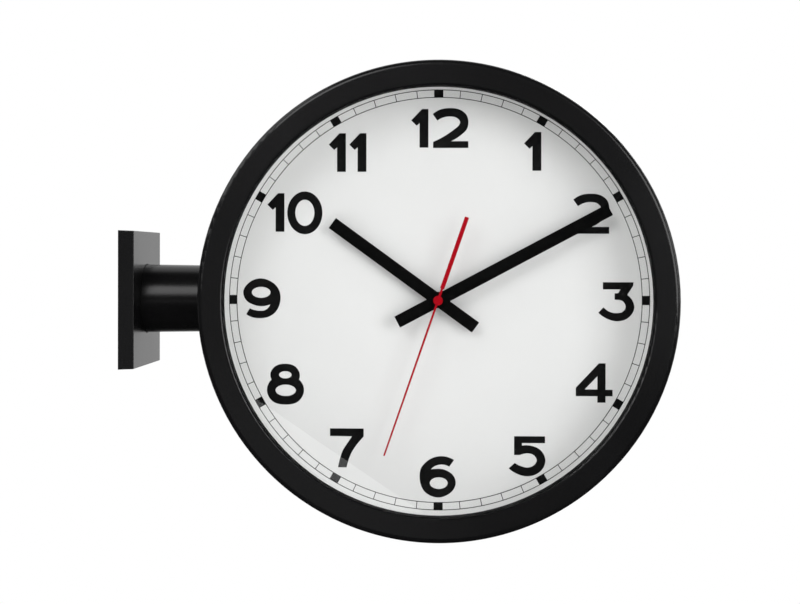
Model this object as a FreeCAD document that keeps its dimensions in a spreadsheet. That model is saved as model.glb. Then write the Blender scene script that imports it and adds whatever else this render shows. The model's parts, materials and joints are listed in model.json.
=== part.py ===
import FreeCAD, Part
import Sketcher
import math
import os
import re

# Double sided station clock on a wall arm.
# Origin: centre of the wall plate's back. +X leaves the wall along the arm, +Z is up and the front dial
# faces -Y.
# Each face is drawn lying on its back: x to the right of the dial, y up the dial, z out of the dial,
# with z = 0 in the middle of the case. The wall parts are drawn with z out of the wall.

os.makedirs("parts", exist_ok=True)
doc = FreeCAD.newDocument("StationClock")
sheet = doc.addObject("Spreadsheet::Sheet", "Sizes")

# Driving dimensions in millimetres and degrees.
sizes = {
    # case
    "case_radius": 142.5,
    "half_depth": 60.0,
    "clock_reach": 193.2,
    "bezel_face": 3.0,
    "bezel_skirt": 16.0,
    "bezel_wall": 2.5,
    "bezel_edge": 3.0,
    "bezel_face_width": 15.2,
    "lip_depth": 8.0,
    "lip_draft": 2.0,
    "lip_wall": 2.5,
    "lip_edge": 1.5,
    "collar_width": 5.0,
    "lap_clearance": 0.4,
    "drum_wall": 1.6,
    "glass_thickness": 3.0,
    "glass_play": 0.5,
    "glass_grip": 2.5,
    "reveal_wall": 1.0,
    "reveal_seat": 4.8,
    "reveal_flange": 2.0,
    "reveal_foot": 4.0,
    "dial_thickness": 1.2,
    "dial_margin": 1.0,
    # small screws of the face
    "ring_screw_radius": 1.1,
    "ring_screw_head": 1.8,
    "ring_screw_cap": 1.3,
    "ring_screw_length": 5.0,
    "ring_screw_count": 4,
    "screw_end_gap": 0.5,
    "grub_radius": 2.0,
    "grub_sink": 0.1,
    "grub_socket": 0.9,
    "grub_count": 3,
    # wall plate and bracket
    "cover_side": 84.3,
    "cover_depth": 9.5,
    "cover_draft": 2.05,
    "cover_wall": 2.2,
    "cover_edge": 0.4,
    "bracket_side": 76.0,
    "bracket_thickness": 4.0,
    "wall_hole_spacing": 56.0,
    "wall_hole_radius": 2.6,
    "wall_hole_sink": 5.0,
    "cover_screw_radius": 1.5,
    "cover_screw_gap": 0.3,
    # arm
    "arm_foot_radius": 21.36,
    "arm_draft": 0.8,
    "arm_wall": 2.2,
    "arm_end_wall": 12.0,
    "arm_cope_margin": 1.0,
    "cover_play": 0.35,
    "saddle_height": 44.0,
    "saddle_width": 36.0,
    "saddle_thickness": 4.0,
    "arm_screw_spacing": 20.0,
    "arm_screw_radius": 2.5,
    "arm_screw_head": 4.5,
    "arm_screw_cap": 2.8,
    "arm_screw_length": 16.0,
    "screw_play": 0.25,
    # movement; each stands clear of the middle of the case by its gap
    "movement_gap": 5.0,
    "movement_side": 56.0,
    "movement_depth": 17.0,
    "movement_wall": 1.2,
    "movement_corner": 3.0,
    "partition_gap": 2.0,
    "post_radius": 1.5,
    "left_post_x": -18.0,
    "left_post_y": -9.5,
    "right_post_x": 19.0,
    "right_post_y": -9.0,
    "top_post_x": 1.5,
    "top_post_y": 14.5,
    "third_post_radius": 0.9,
    "pivot_depth": 1.4,
    "bush_radius": 4.0,
    "bush_rise": 3.6,
    "nut_radius": 5.0,
    "nut_height": 2.0,
    "nut_slot": 1.2,
    "dial_hole_play": 0.1,
    "running_play": 0.08,
    "bridge_drop": 6.5,
    "bridge_thickness": 1.0,
    "bridge_width": 44.0,
    "bridge_reach": 16.0,
    "bridge_bore_play": 0.6,
    "boss_height": 1.0,
    "boss_radius": 1.35,
    "level_gap": 0.6,
    "pinion_overlap": 0.2,
    "wheel_thickness": 0.8,
    "pinion_height": 1.8,
    "pivot_radius": 0.45,
    "clutch_wall": 1.0,
    "arbor_end_play": 0.2,
    "battery_radius": 7.1,
    "battery_length": 49.0,
    "battery_gap": 0.2,
    "battery_edge": 0.6,
    "battery_button_radius": 2.7,
    "battery_button": 1.0,
    "battery_foot_radius": 4.3,
    "battery_foot": 0.3,
    "contact_thickness": 0.4,
    "contact_width": 6.0,
    "contact_rise": 15.0,
    "contact_pad": 3.0,
    "board_left": 9.0,
    "board_bottom": 15.0,
    "board_gap": 0.6,
    "board_drop": 4.4,
    "board_thickness": 1.0,
    "chip_width": 7.0,
    "chip_height": 5.0,
    "chip_thickness": 1.2,
    "crystal_width": 2.0,
    "crystal_height": 7.0,
    # wheel train: distances between arbors and their directions from the dial's centre
    "third_distance": 9.2,
    "third_turn": 20.0,
    "intermediate_distance": 9.0,
    "intermediate_turn": 125.0,
    "rotor_distance": 6.3,
    "rotor_turn": 160.0,
    "minute_wheel_distance": 9.4,
    "minute_wheel_turn": 200.0,
    "seconds_teeth": 60,
    "seconds_leaves": 8,
    "third_teeth": 60,
    "third_leaves": 8,
    "centre_teeth": 64,
    "intermediate_teeth": 36,
    "intermediate_leaves": 12,
    "rotor_leaves": 6,
    "cannon_leaves": 12,
    "minute_wheel_teeth": 36,
    "minute_wheel_leaves": 10,
    "hour_teeth": 40,
    "minute_arbor_radius": 0.7,
    "knob_radius": 4.5,
    "knob_height": 2.5,
    "knob_gap": 0.3,
    "knob_ribs": 24,
    "magnet_radius": 2.6,
    "magnet_height": 3.0,
    "stator_gap": 0.4,
    "coil_radius": 3.4,
    "coil_length": 20.0,
    "coil_shift": -6.0,
    "coil_cheek": 0.8,
    "coil_cheek_rise": 0.6,
    "core_width": 2.2,
    "core_play": 0.1,
    "stator_leg": 2.4,
    # hands
    "seconds_arbor_radius": 0.5,
    "minute_tube_radius": 1.75,
    "hour_tube_radius": 2.75,
    "hand_width": 7.5,
    "hand_tail": 27.9,
    "hand_thickness": 0.8,
    "collet_height": 2.0,
    "collet_wall": 0.9,
    "hour_hand_length": 79.5,
    "hour_hand_height": 7.0,
    "hour_hand_turn": 306.0,
    "minute_hand_length": 116.7,
    "minute_hand_height": 11.0,
    "minute_hand_turn": 62.0,
    "second_hand_length": 98.9,
    "second_hand_tail": 53.1,
    "second_hand_height": 14.4,
    "second_hand_thickness": 0.5,
    "second_hand_turn": 199.1,
    "needle_root": 1.3,
    "needle_tip": 1.0,
    "neck_width": 1.45,
    "neck_length": 7.6,
    "weight_width": 2.6,
    "hub_radius": 2.9,
    "hub_height": 2.0,
    "hub_chamfer": 0.35,
}

for row, (alias, size) in enumerate(sizes.items(), start=1):
    sheet.set(f"A{row}", alias.replace("_", " "))
    sheet.set(f"B{row}", str(size))
    sheet.setAlias(f"B{row}", alias)
doc.recompute()

# Places that follow from the driving dimensions.
places = {
    "skirt_bore": "case_radius - bezel_wall",
    "drum_radius": "skirt_bore - lap_clearance",
    "drum_bore": "drum_radius - drum_wall",
    "ring_radius": "drum_bore - dial_margin",
    "collar_bore": "ring_radius - collar_width",
    "glass_radius": "collar_bore - glass_play",
    "drum_end": "half_depth - bezel_face",
    "opening_radius": "case_radius - bezel_face_width",
    "glass_front": "half_depth - lip_depth",
    "glass_back": "glass_front - glass_thickness",
    "reveal_bore": "ring_radius - reveal_seat",
    "reveal_radius": "reveal_bore + reveal_wall",
    "ring_screw_circle": "reveal_radius + (ring_radius - reveal_radius) / 2",
    "dial_front": "dial_back + dial_thickness",
    "dial_back": "movement_gap + movement_depth",
    "grub_level": "drum_end - (bezel_skirt - bezel_face) / 2",
    "grub_head": "case_radius - grub_sink",
    "grub_length": "bezel_wall - grub_sink",
    "tray_floor": "dial_back - movement_wall",
    "tray_back": "movement_gap",
    "cover_inside": "tray_back + movement_wall",
    "arbor_end": "tray_back + movement_wall / 2 + arbor_end_play",
    "tray_inside": "movement_side / 2 - movement_wall",
    "bridge_top": "tray_floor - bridge_drop + bridge_thickness",
    "bridge_level": "tray_floor - bridge_drop",
    "third_x": "third_distance * cos(third_turn)",
    "third_y": "third_distance * sin(third_turn)",
    "intermediate_x": "intermediate_distance * cos(intermediate_turn)",
    "intermediate_y": "intermediate_distance * sin(intermediate_turn)",
    "rotor_x": "intermediate_x + rotor_distance * cos(rotor_turn)",
    "rotor_y": "intermediate_y + rotor_distance * sin(rotor_turn)",
    "minute_wheel_x": "minute_wheel_distance * cos(minute_wheel_turn)",
    "minute_wheel_y": "minute_wheel_distance * sin(minute_wheel_turn)",
    "centre_level": "bridge_top + level_gap",
    "third_level": "bridge_level - level_gap - wheel_thickness",
    "seconds_level": "third_level - 2 * level_gap - wheel_thickness",
    "intermediate_level": "seconds_level - 2 * level_gap - 2 * wheel_thickness",
    "cannon_level": "centre_level + wheel_thickness + level_gap",
    "hour_level": "cannon_level + pinion_height + level_gap / 2",
    "third_post_end": "cannon_level + level_gap / 4",
    "stator_level": "intermediate_level + 3 * wheel_thickness",
    "magnet_level": "intermediate_level + wheel_thickness + level_gap",
    "coil_y": "tray_inside - coil_radius - 1.75 * coil_cheek",
    "partition_y": "battery_y + battery_radius + battery_gap",
    "battery_y": "battery_radius + battery_gap - tray_inside",
    "battery_z": "tray_floor - battery_radius - battery_gap / 2",
    "minute_tube_bore": "seconds_arbor_radius + running_play",
    "hour_tube_bore": "minute_tube_radius + running_play",
    "bush_bore": "hour_tube_radius + running_play",
    "hour_hand_level": "dial_front + hour_hand_height",
    "minute_hand_level": "dial_front + minute_hand_height",
    "second_hand_level": "dial_front + second_hand_height",
    "arm_bore": "arm_foot_radius - arm_wall",
    "cover_bore": "arm_foot_radius + cover_play",
    "saddle_chord": "drum_bore - saddle_thickness",
}


def link(words):
    """Turns the plain names in a formula into references to the sheet's cells."""
    def reference(match):
        name = match.group(0)
        if name in places:
            return "(" + link(places[name]) + ")"
        if name in sizes:
            return "Sizes." + name
        return name
    return re.sub(r"[a-z][a-z_]*", reference, str(words))


def number(words):
    """The present value of a formula, in millimetres, degrees or a count."""
    return float(sheet.evalExpression(link(words).replace("Sizes.", "")))


def axisOf(body, role):
    return [feature for feature in body.Origin.OriginFeatures if feature.Role == role][0]


def stand(item, placement):
    """Puts a sub-part in its place; what belongs to the case follows the clock's reach from the wall."""
    item.Placement = placement
    if placement.Base.x > 0:
        item.setExpression("Placement.Base.x", link("clock_reach"))


def newBody(label, placement):
    body = doc.addObject("PartDesign::Body", label)
    body.Label = label
    stand(body, placement)
    return body


def newSketch(body, plane, level="0"):
    """A sketch on one of the body's planes, moved by level along that plane's normal."""
    sketch = body.newObject("Sketcher::SketchObject", body.Label + "_sketch")
    sketch.AttachmentSupport = [(axisOf(body, plane), "")]
    sketch.MapMode = "FlatFace"
    sketch.setExpression("AttachmentOffset.Base.z", link(level))
    return sketch


def place(sketch, geometry, point, x, y):
    """Holds one point of a sketch at x and y from the sketch's origin."""
    for kind, words in (("DistanceX", x), ("DistanceY", y)):
        held = sketch.addConstraint(Sketcher.Constraint(kind, -1, 1, geometry, point, number(words)))
        sketch.setExpression(f"Constraints[{held}]", link(words))


def addOutline(sketch, corners):
    """A closed outline of straight sides whose corners are pairs of formulas."""
    first = sketch.GeometryCount
    spots = [FreeCAD.Vector(number(x), number(y), 0) for x, y in corners]
    for start, end in zip(spots, spots[1:] + spots[:1]):
        sketch.addGeometry(Part.LineSegment(start, end))
    count = len(corners)
    for side in range(count):
        following = first + (side + 1) % count
        sketch.addConstraint(Sketcher.Constraint("Coincident", first + side, 2, following, 1))
    for side, (x, y) in enumerate(corners):
        place(sketch, first + side, 1, x, y)


def addCircle(sketch, x, y, radius):
    centre = FreeCAD.Vector(number(x), number(y), 0)
    circle = sketch.addGeometry(Part.Circle(centre, FreeCAD.Vector(0, 0, 1), number(radius)))
    place(sketch, circle, 3, x, y)
    held = sketch.addConstraint(Sketcher.Constraint("Radius", circle, number(radius)))
    sketch.setExpression(f"Constraints[{held}]", link(radius))


def addBox(sketch, left, bottom, right, top):
    addOutline(sketch, [(left, bottom), (right, bottom), (right, top), (left, top)])


def pad(body, sketch, length, both=False, draft=None, down=False):
    feature = body.newObject("PartDesign::Pad", body.Label + "_pad")
    feature.Profile = sketch
    feature.setExpression("Length", link(length))
    feature.SideType = "Symmetric" if both else "One side"
    feature.Reversed = down
    if draft:
        feature.setExpression("TaperAngle", link(draft))
    return feature


def pocket(body, sketch, length, both=False, up=False):
    """Cuts against the sketch's normal, or along it with up."""
    feature = body.newObject("PartDesign::Pocket", body.Label + "_pocket")
    feature.Profile = sketch
    feature.setExpression("Length", link(length))
    feature.SideType = "Symmetric" if both else "One side"
    feature.Reversed = up
    return feature


def turned(body, corners):
    """Turns a profile of (radius, height) corners about the body's Z axis."""
    sketch = newSketch(body, "XZ_Plane")
    addOutline(sketch, corners)
    feature = body.newObject("PartDesign::Revolution", body.Label + "_turned")
    feature.Profile = sketch
    feature.ReferenceAxis = (sketch, ["V_Axis"])
    feature.Angle = 360
    return feature


def roundEdges(body, base, radius, chosen):
    """Rounds the edges of a feature that the test chosen picks."""
    doc.recompute()
    names = [f"Edge{place}" for place, edge in enumerate(base.Shape.Edges, start=1) if chosen(edge)]
    feature = body.newObject("PartDesign::Fillet", body.Label + "_fillet")
    feature.Base = (base, names)
    feature.setExpression("Radius", link(radius))
    return feature


def circleAt(radius, level):
    """Test for a circular edge about the body's Z axis with this radius, at this height."""
    def chosen(edge):
        if not isinstance(edge.Curve, Part.Circle):
            return False
        sameRadius = abs(edge.Curve.Radius - number(radius)) < 0.001
        return sameRadius and abs(edge.Curve.Center.z - number(level)) < 0.001
    return chosen


def upright(edge):
    """Test for a straight edge along the body's Z axis."""
    return edge.BoundBox.XLength < 0.001 and edge.BoundBox.YLength < 0.001


def aroundAxis(body, features, count):
    """Repeats features round the body's Z axis."""
    pattern = body.newObject("PartDesign::PolarPattern", body.Label + "_pattern")
    pattern.Originals = features
    pattern.Axis = (axisOf(body, "Z_Axis"), [""])
    pattern.Angle = 360
    pattern.setExpression("Occurrences", link(count))
    body.Tip = pattern


def tubeProfile(bore, radius, bottom, top):
    return [(bore, bottom), (radius, bottom), (radius, top), (bore, top)]


def handPlacement(face, turn):
    """A hand drawn pointing at twelve, turned clockwise on its dial."""
    clockwise = FreeCAD.Rotation(FreeCAD.Vector(0, 0, 1), -number(turn))
    return face.multiply(FreeCAD.Placement(FreeCAD.Vector(0, 0, 0), clockwise))


# ---------------------------------------------------------------- wall parts

wallPlacement = FreeCAD.Placement(FreeCAD.Vector(0, 0, 0), FreeCAD.Rotation(FreeCAD.Vector(0, 1, 0), 90))


def wallHoleSpots():
    half = "wall_hole_spacing / 2"
    return [(x + half, y + half) for x in ("", "-") for y in ("", "-")]


def wallBracket():
    """Square steel plate with four countersunk holes for the wall screws."""
    body = newBody("wall_bracket", wallPlacement)
    sketch = newSketch(body, "XY_Plane")
    half = "bracket_side / 2"
    addBox(sketch, "-" + half, "-" + half, half, half)
    for x, y in wallHoleSpots():
        addCircle(sketch, x, y, "wall_hole_radius")
    pad(body, sketch, "bracket_thickness")
    sinks = newSketch(body, "XY_Plane", "bracket_thickness")
    for x, y in wallHoleSpots():
        addCircle(sinks, x, y, "wall_hole_sink")
    pocket(body, sinks, "bracket_thickness / 3")
    return body


def wallCover():
    """Square cover with drafted sides, hollow behind, and a round hole for the arm."""
    body = newBody("wall_cover", wallPlacement)
    sketch = newSketch(body, "XY_Plane")
    half = "cover_side / 2"
    addBox(sketch, "-" + half, "-" + half, half, half)
    block = pad(body, sketch, "cover_depth", draft="-cover_draft")
    roundEdges(body, block, "cover_edge", lambda edge: edge.BoundBox.ZMax > 0.001)
    hollow = newSketch(body, "XY_Plane")
    inner = "(cover_side / 2 - cover_wall - cover_depth * tan(cover_draft))"
    addBox(hollow, "-" + inner, "-" + inner, inner, inner)
    pocket(body, hollow, "cover_depth - cover_wall", up=True)
    bore = newSketch(body, "XY_Plane")
    addCircle(bore, "0", "0", "cover_bore")
    pocket(body, bore, "cover_depth", up=True)
    screwHoles = newSketch(body, "YZ_Plane")
    addCircle(screwHoles, "0", "bracket_thickness / 2", "cover_screw_radius")
    pocket(body, screwHoles, "cover_side + cover_wall", both=True)
    return body


def coverScrews():
    """Two grub screws, above and below, whose tips stand just off the bracket's edge."""
    body = newBody("cover_screws", wallPlacement)
    tip = "(bracket_side / 2 + cover_screw_gap)"
    length = "(cover_side / 2 - bracket_side / 2 - cover_screw_gap - cover_edge)"
    sketch = newSketch(body, "YZ_Plane", tip)
    addCircle(sketch, "0", "bracket_thickness / 2", "cover_screw_radius")
    screw = pad(body, sketch, length)
    socket = newSketch(body, "YZ_Plane", tip + " + " + length)
    addCircle(socket, "0", "bracket_thickness / 2", "cover_screw_radius / 2")
    recess = pocket(body, socket, "cover_screw_radius")
    aroundAxis(body, [screw, recess], "2")
    return body


def armTube():
    """Cast round arm: slight taper, hollow from the wall, closed end coped to the drum and tapped."""
    body = newBody("arm_tube", wallPlacement)
    sagitta = "arm_foot_radius * arm_foot_radius / drum_radius / 2"
    end = f"(clock_reach - drum_radius + {sagitta} + arm_cope_margin)"
    tip = f"arm_foot_radius - ({end} - bracket_thickness) * tan(arm_draft)"
    floor = "(clock_reach - drum_radius - arm_end_wall)"
    turned(body, [
        ("0", floor),
        ("arm_bore", floor),
        ("arm_bore", "bracket_thickness"),
        ("arm_foot_radius", "bracket_thickness"),
        (tip, end),
        ("0", end),
    ])
    cope = newSketch(body, "XZ_Plane")
    addCircle(cope, "0", "clock_reach", "drum_radius")
    pocket(body, cope, "3 * arm_foot_radius", both=True)
    depth = "saddle_chord + arm_screw_length + screw_end_gap"
    addArmScrewHoles(body, "arm_screw_radius", "clock_reach", depth)
    return body


def armScrewSpots():
    half = "arm_screw_spacing / 2"
    return [(x + half, y + half) for x in ("", "-") for y in ("", "-")]


def addArmScrewHoles(body, radius, level, depth):
    """Four holes parallel to the arm, cut from a level towards the wall."""
    sketch = newSketch(body, "XY_Plane", level)
    for x, y in armScrewSpots():
        addCircle(sketch, x, y, radius)
    pocket(body, sketch, depth)


def armSaddle():
    """Plate inside the drum: round on the drum's side, flat under the screw heads."""
    body = newBody("arm_saddle", wallPlacement)
    sketch = newSketch(body, "XZ_Plane")
    half = "(saddle_height / 2)"
    face = "(clock_reach - saddle_chord)"
    back = "(clock_reach - drum_bore * 1.1)"
    addBox(sketch, "-" + half, back, half, face)
    pad(body, sketch, "saddle_width", both=True)
    ring = newSketch(body, "XZ_Plane")
    addCircle(ring, "0", "clock_reach", "drum_bore")
    addCircle(ring, "0", "clock_reach", "drum_bore * 1.3")
    pocket(body, ring, "2 * saddle_width", both=True)
    addArmScrewHoles(body, "arm_screw_radius + screw_play", "clock_reach", "1.2 * drum_radius")
    return body


def armScrews():
    """Four pan head screws from inside the drum into the arm's end."""
    body = newBody("arm_screws", wallPlacement)
    seat = "(clock_reach - saddle_chord)"
    for radius, height, down in (("arm_screw_radius", "arm_screw_length", True),
                                 ("arm_screw_head", "arm_screw_cap", False)):
        sketch = newSketch(body, "XY_Plane", seat)
        for x, y in armScrewSpots():
            addCircle(sketch, x, y, radius)
        pad(body, sketch, height, down=down)
    socket = newSketch(body, "XY_Plane", seat + " + arm_screw_cap")
    for x, y in armScrewSpots():
        addCircle(socket, x, y, "arm_screw_radius / 2")
    pocket(body, socket, "arm_screw_cap / 2")
    return body


def caseDrum():
    """Sheet drum between the two bezels, with four holes for the arm screws."""
    drumPlacement = FreeCAD.Placement(FreeCAD.Vector(number("clock_reach"), 0, 0),
                                      FreeCAD.Rotation(FreeCAD.Vector(1, 0, 0), 90))
    body = newBody("case_drum", drumPlacement)
    turned(body, tubeProfile("drum_bore", "drum_radius", "-drum_end", "drum_end"))
    holes = newSketch(body, "YZ_Plane")
    for x, y in armScrewSpots():
        addCircle(holes, x, y, "arm_screw_radius + screw_play")
    pocket(body, holes, "1.2 * drum_radius")
    return body


# ---------------------------------------------------------------- face: case parts

def bezel(side, face):
    """Black ring: flat face, lip back to the glass, skirt over the drum, collar for the reveal ring."""
    body = newBody(side + "_bezel", face)
    ring = turned(body, [
        ("opening_radius", "half_depth"),
        ("case_radius", "half_depth"),
        ("case_radius", "half_depth - bezel_skirt"),
        ("skirt_bore", "half_depth - bezel_skirt"),
        ("skirt_bore", "drum_end"),
        ("ring_radius", "drum_end"),
        ("ring_radius", "glass_back"),
        ("collar_bore", "glass_back"),
        ("collar_bore", "drum_end"),
        ("opening_radius + lip_wall", "drum_end"),
        ("opening_radius + lip_wall", "glass_front"),
        ("opening_radius - lip_depth * tan(lip_draft)", "glass_front"),
    ])
    outer = roundEdges(body, ring, "bezel_edge", circleAt("case_radius", "half_depth"))
    roundEdges(body, outer, "lip_edge", circleAt("opening_radius", "half_depth"))
    grub = newSketch(body, "XZ_Plane", "ring_radius")
    addCircle(grub, "0", "grub_level", "grub_radius")
    hole = pocket(body, grub, "2 * bezel_wall + case_radius - ring_radius", up=True)
    aroundAxis(body, [hole], "grub_count")
    pilot = newSketch(body, "XY_Plane", "glass_back")
    addCircle(pilot, "ring_screw_circle * cos(45)", "ring_screw_circle * sin(45)", "ring_screw_radius")
    cut = pocket(body, pilot, "ring_screw_length - reveal_flange + screw_end_gap", up=True)
    aroundAxis(body, [cut], "ring_screw_count")
    return body


def bezelScrews(side, face):
    """Grub screws in the skirt, with socket heads; their tips stand just off the drum."""
    body = newBody(side + "_bezel_screws", face)
    sketch = newSketch(body, "XZ_Plane", "grub_head")
    addCircle(sketch, "0", "grub_level", "grub_radius")
    screw = pad(body, sketch, "grub_length", down=True)
    socket = newSketch(body, "XZ_Plane", "grub_head")
    addCircle(socket, "0", "grub_level", "grub_socket")
    recess = pocket(body, socket, "grub_length / 2")
    aroundAxis(body, [screw, recess], "grub_count")
    return body


def glass(side, face):
    body = newBody(side + "_glass", face)
    sketch = newSketch(body, "XY_Plane", "glass_back")
    addCircle(sketch, "0", "0", "glass_radius")
    pad(body, sketch, "glass_thickness")
    return body


def revealRing(side, face):
    """Ring from the glass down to the dial, with a flange at the glass and a foot at the dial."""
    body = newBody(side + "_reveal_ring", face)
    turned(body, [
        ("glass_radius - glass_grip", "glass_back"),
        ("ring_radius", "glass_back"),
        ("ring_radius", "glass_back - reveal_flange"),
        ("reveal_radius", "glass_back - reveal_flange"),
        ("reveal_radius", "dial_front + reveal_foot"),
        ("ring_radius", "dial_front + reveal_foot"),
        ("ring_radius", "dial_front"),
        ("reveal_bore", "dial_front"),
        ("reveal_bore", "glass_back - reveal_flange"),
        ("glass_radius - glass_grip", "glass_back - reveal_flange"),
    ])
    x, y = "ring_screw_circle * cos(45)", "ring_screw_circle * sin(45)"
    holes = newSketch(body, "XY_Plane", "dial_front")
    addCircle(holes, x, y, "ring_screw_radius")
    # The cut runs from the dial's foot through the flange at the glass.
    cut = pocket(body, holes, "glass_back - dial_front", up=True)
    aroundAxis(body, [cut], "ring_screw_count")
    return body


def ringScrews(side, face):
    """Small screws with pan heads: one set into the bezel, one set holding the dial."""
    body = newBody(side + "_ring_screws", face)
    x, y = "ring_screw_circle * cos(45)", "ring_screw_circle * sin(45)"
    made = []
    for seat in ("glass_back - reveal_flange", "dial_back"):
        shank = newSketch(body, "XY_Plane", seat)
        addCircle(shank, x, y, "ring_screw_radius")
        made.append(pad(body, shank, "ring_screw_length"))
        head = newSketch(body, "XY_Plane", seat)
        addCircle(head, x, y, "ring_screw_head")
        made.append(pad(body, head, "ring_screw_cap", down=True))
        socket = newSketch(body, "XY_Plane", seat + " - ring_screw_cap")
        addCircle(socket, x, y, "ring_screw_radius / 2")
        made.append(pocket(body, socket, "ring_screw_cap / 2", up=True))
    aroundAxis(body, made, "ring_screw_count")
    return body


def dial(side, face):
    """Thin disc with a hole for the movement's bush and four for the screws."""
    body = newBody(side + "_dial", face)
    sketch = newSketch(body, "XY_Plane", "dial_back")
    addCircle(sketch, "0", "0", "ring_radius")
    addCircle(sketch, "0", "0", "bush_radius + dial_hole_play")
    pad(body, sketch, "dial_thickness")
    holes = newSketch(body, "XY_Plane", "dial_back")
    addCircle(holes, "ring_screw_circle * cos(45)", "ring_screw_circle * sin(45)", "ring_screw_radius")
    aroundAxis(body, [pocket(body, holes, "dial_thickness", up=True)], "ring_screw_count")
    return body


# ---------------------------------------------------------------- face: movement housing

def bridgePosts():
    """Posts from the tray's floor that carry the bridge, away from the wheels."""
    return [(name + "_post_x", name + "_post_y") for name in ("left", "right", "top")]


def movementCase(side, face):
    """Open tray with the threaded bush, a wall beside the battery, and posts for the bridge."""
    body = newBody(side + "_movement_case", face)
    half = "(movement_side / 2)"
    sketch = newSketch(body, "XY_Plane", "cover_inside")
    addBox(sketch, "-" + half, "-" + half, half, half)
    block = pad(body, sketch, "dial_back - cover_inside")
    roundEdges(body, block, "movement_corner", upright)
    hollow = newSketch(body, "XY_Plane", "cover_inside")
    addBox(hollow, "-tray_inside", "-tray_inside", "tray_inside", "tray_inside")
    pocket(body, hollow, "tray_floor - cover_inside", up=True)
    wall = newSketch(body, "XY_Plane", "tray_floor")
    addBox(wall, "-tray_inside + partition_gap", "partition_y",
           "tray_inside - partition_gap", "partition_y + movement_wall")
    pad(body, wall, "tray_floor - cover_inside", down=True)
    posts = newSketch(body, "XY_Plane", "tray_floor")
    for x, y in bridgePosts():
        addCircle(posts, x, y, "post_radius")
    pad(body, posts, "tray_floor - bridge_top", down=True)
    thirdPost = newSketch(body, "XY_Plane", "tray_floor")
    addCircle(thirdPost, "third_x", "third_y", "third_post_radius")
    pad(body, thirdPost, "tray_floor - third_post_end", down=True)
    thirdHole = newSketch(body, "XY_Plane", "third_post_end")
    addCircle(thirdHole, "third_x", "third_y", "pivot_radius + running_play")
    pocket(body, thirdHole, "pivot_depth", up=True)
    bush = newSketch(body, "XY_Plane", "dial_back")
    addCircle(bush, "0", "0", "bush_radius")
    pad(body, bush, "dial_thickness + bush_rise")
    bore = newSketch(body, "XY_Plane", "tray_floor")
    addCircle(bore, "0", "0", "bush_bore")
    pocket(body, bore, "movement_wall + dial_thickness + bush_rise", up=True)
    minutePit = newSketch(body, "XY_Plane", "tray_floor")
    addCircle(minutePit, "minute_wheel_x", "minute_wheel_y", "pivot_radius + running_play")
    pocket(body, minutePit, "movement_wall / 2", up=True)
    return body


def movementNut(side, face):
    """Round nut on the bush, small enough to lie hidden under the hands, with two spanner slots."""
    body = newBody(side + "_movement_nut", face)
    turned(body, tubeProfile("bush_radius", "nut_radius", "dial_front", "dial_front + nut_height"))
    slots = newSketch(body, "XZ_Plane")
    half = "(nut_slot / 2)"
    addBox(slots, "-" + half, "dial_front + nut_height / 2", half, "dial_front + nut_height")
    pocket(body, slots, "3 * nut_radius", both=True)
    return body


def trainBridge(side, face):
    """Middle plate: carries the rotor's and intermediate wheel's upper pivots, clears the other arbors."""
    body = newBody(side + "_train_bridge", face)
    sketch = newSketch(body, "XY_Plane", "bridge_level")
    foot = "partition_y + movement_wall + battery_gap"
    addBox(sketch, "-bridge_width / 2", foot, "bridge_width / 2", "bridge_reach")
    addCircle(sketch, "0", "0", "minute_tube_radius + bridge_bore_play")
    addCircle(sketch, "third_x", "third_y", "third_post_radius + bridge_bore_play")
    addCircle(sketch, "minute_wheel_x", "minute_wheel_y", "minute_arbor_radius + bridge_bore_play / 2")
    for name in ("intermediate", "rotor"):
        addCircle(sketch, name + "_x", name + "_y", "pivot_radius + running_play")
    pad(body, sketch, "bridge_thickness")
    return body


def movementCover(side, face):
    """Back plate with the battery opening, pivot bosses and the setting knob's hole."""
    body = newBody(side + "_movement_cover", face)
    half = "(movement_side / 2)"
    sketch = newSketch(body, "XY_Plane", "tray_back")
    addBox(sketch, "-" + half, "-" + half, half, half)
    plate = pad(body, sketch, "movement_wall")
    roundEdges(body, plate, "movement_corner", upright)
    opening = newSketch(body, "XY_Plane", "tray_back")
    addBox(opening, "-tray_inside", "-tray_inside", "tray_inside", "partition_y")
    addCircle(opening, "minute_wheel_x", "minute_wheel_y", "minute_arbor_radius + running_play")
    pocket(body, opening, "movement_wall", up=True)
    bosses = newSketch(body, "XY_Plane", "cover_inside")
    pits = newSketch(body, "XY_Plane", "arbor_end - arbor_end_play")
    spots = [("0", "0"), ("third_x", "third_y"), ("intermediate_x", "intermediate_y"), ("rotor_x", "rotor_y")]
    for x, y in spots:
        addCircle(bosses, x, y, "boss_radius")
        addCircle(pits, x, y, "pivot_radius + running_play")
    pad(body, bosses, "boss_height")
    pocket(body, pits, "boss_height + movement_wall", up=True)
    return body


# ---------------------------------------------------------------- face: motor and battery

def circuitBoard(side, face):
    """Small board with the clock chip and its crystal, beside the coil."""
    body = newBody(side + "_circuit_board", face)
    level = "tray_floor - board_drop"
    right = "tray_inside - board_gap"
    board = newSketch(body, "XY_Plane", level)
    addBox(board, "board_left", "board_bottom", right, right)
    pad(body, board, "board_thickness")
    middle = "((board_bottom + tray_inside - board_gap) / 2)"
    chip = newSketch(body, "XY_Plane", level)
    chipLeft = "board_left + chip_width / 2"
    addBox(chip, chipLeft, f"{middle} - chip_height / 2",
           f"{chipLeft} + chip_width", f"{middle} + chip_height / 2")
    pad(body, chip, "chip_thickness", down=True)
    crystal = newSketch(body, "XY_Plane", level)
    crystalLeft = "board_left + 1.75 * chip_width"
    addBox(crystal, crystalLeft, f"{middle} - crystal_height / 2",
           f"{crystalLeft} + crystal_width", f"{middle} + crystal_height / 2")
    pad(body, crystal, "crystal_width", down=True)
    return body


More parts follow.
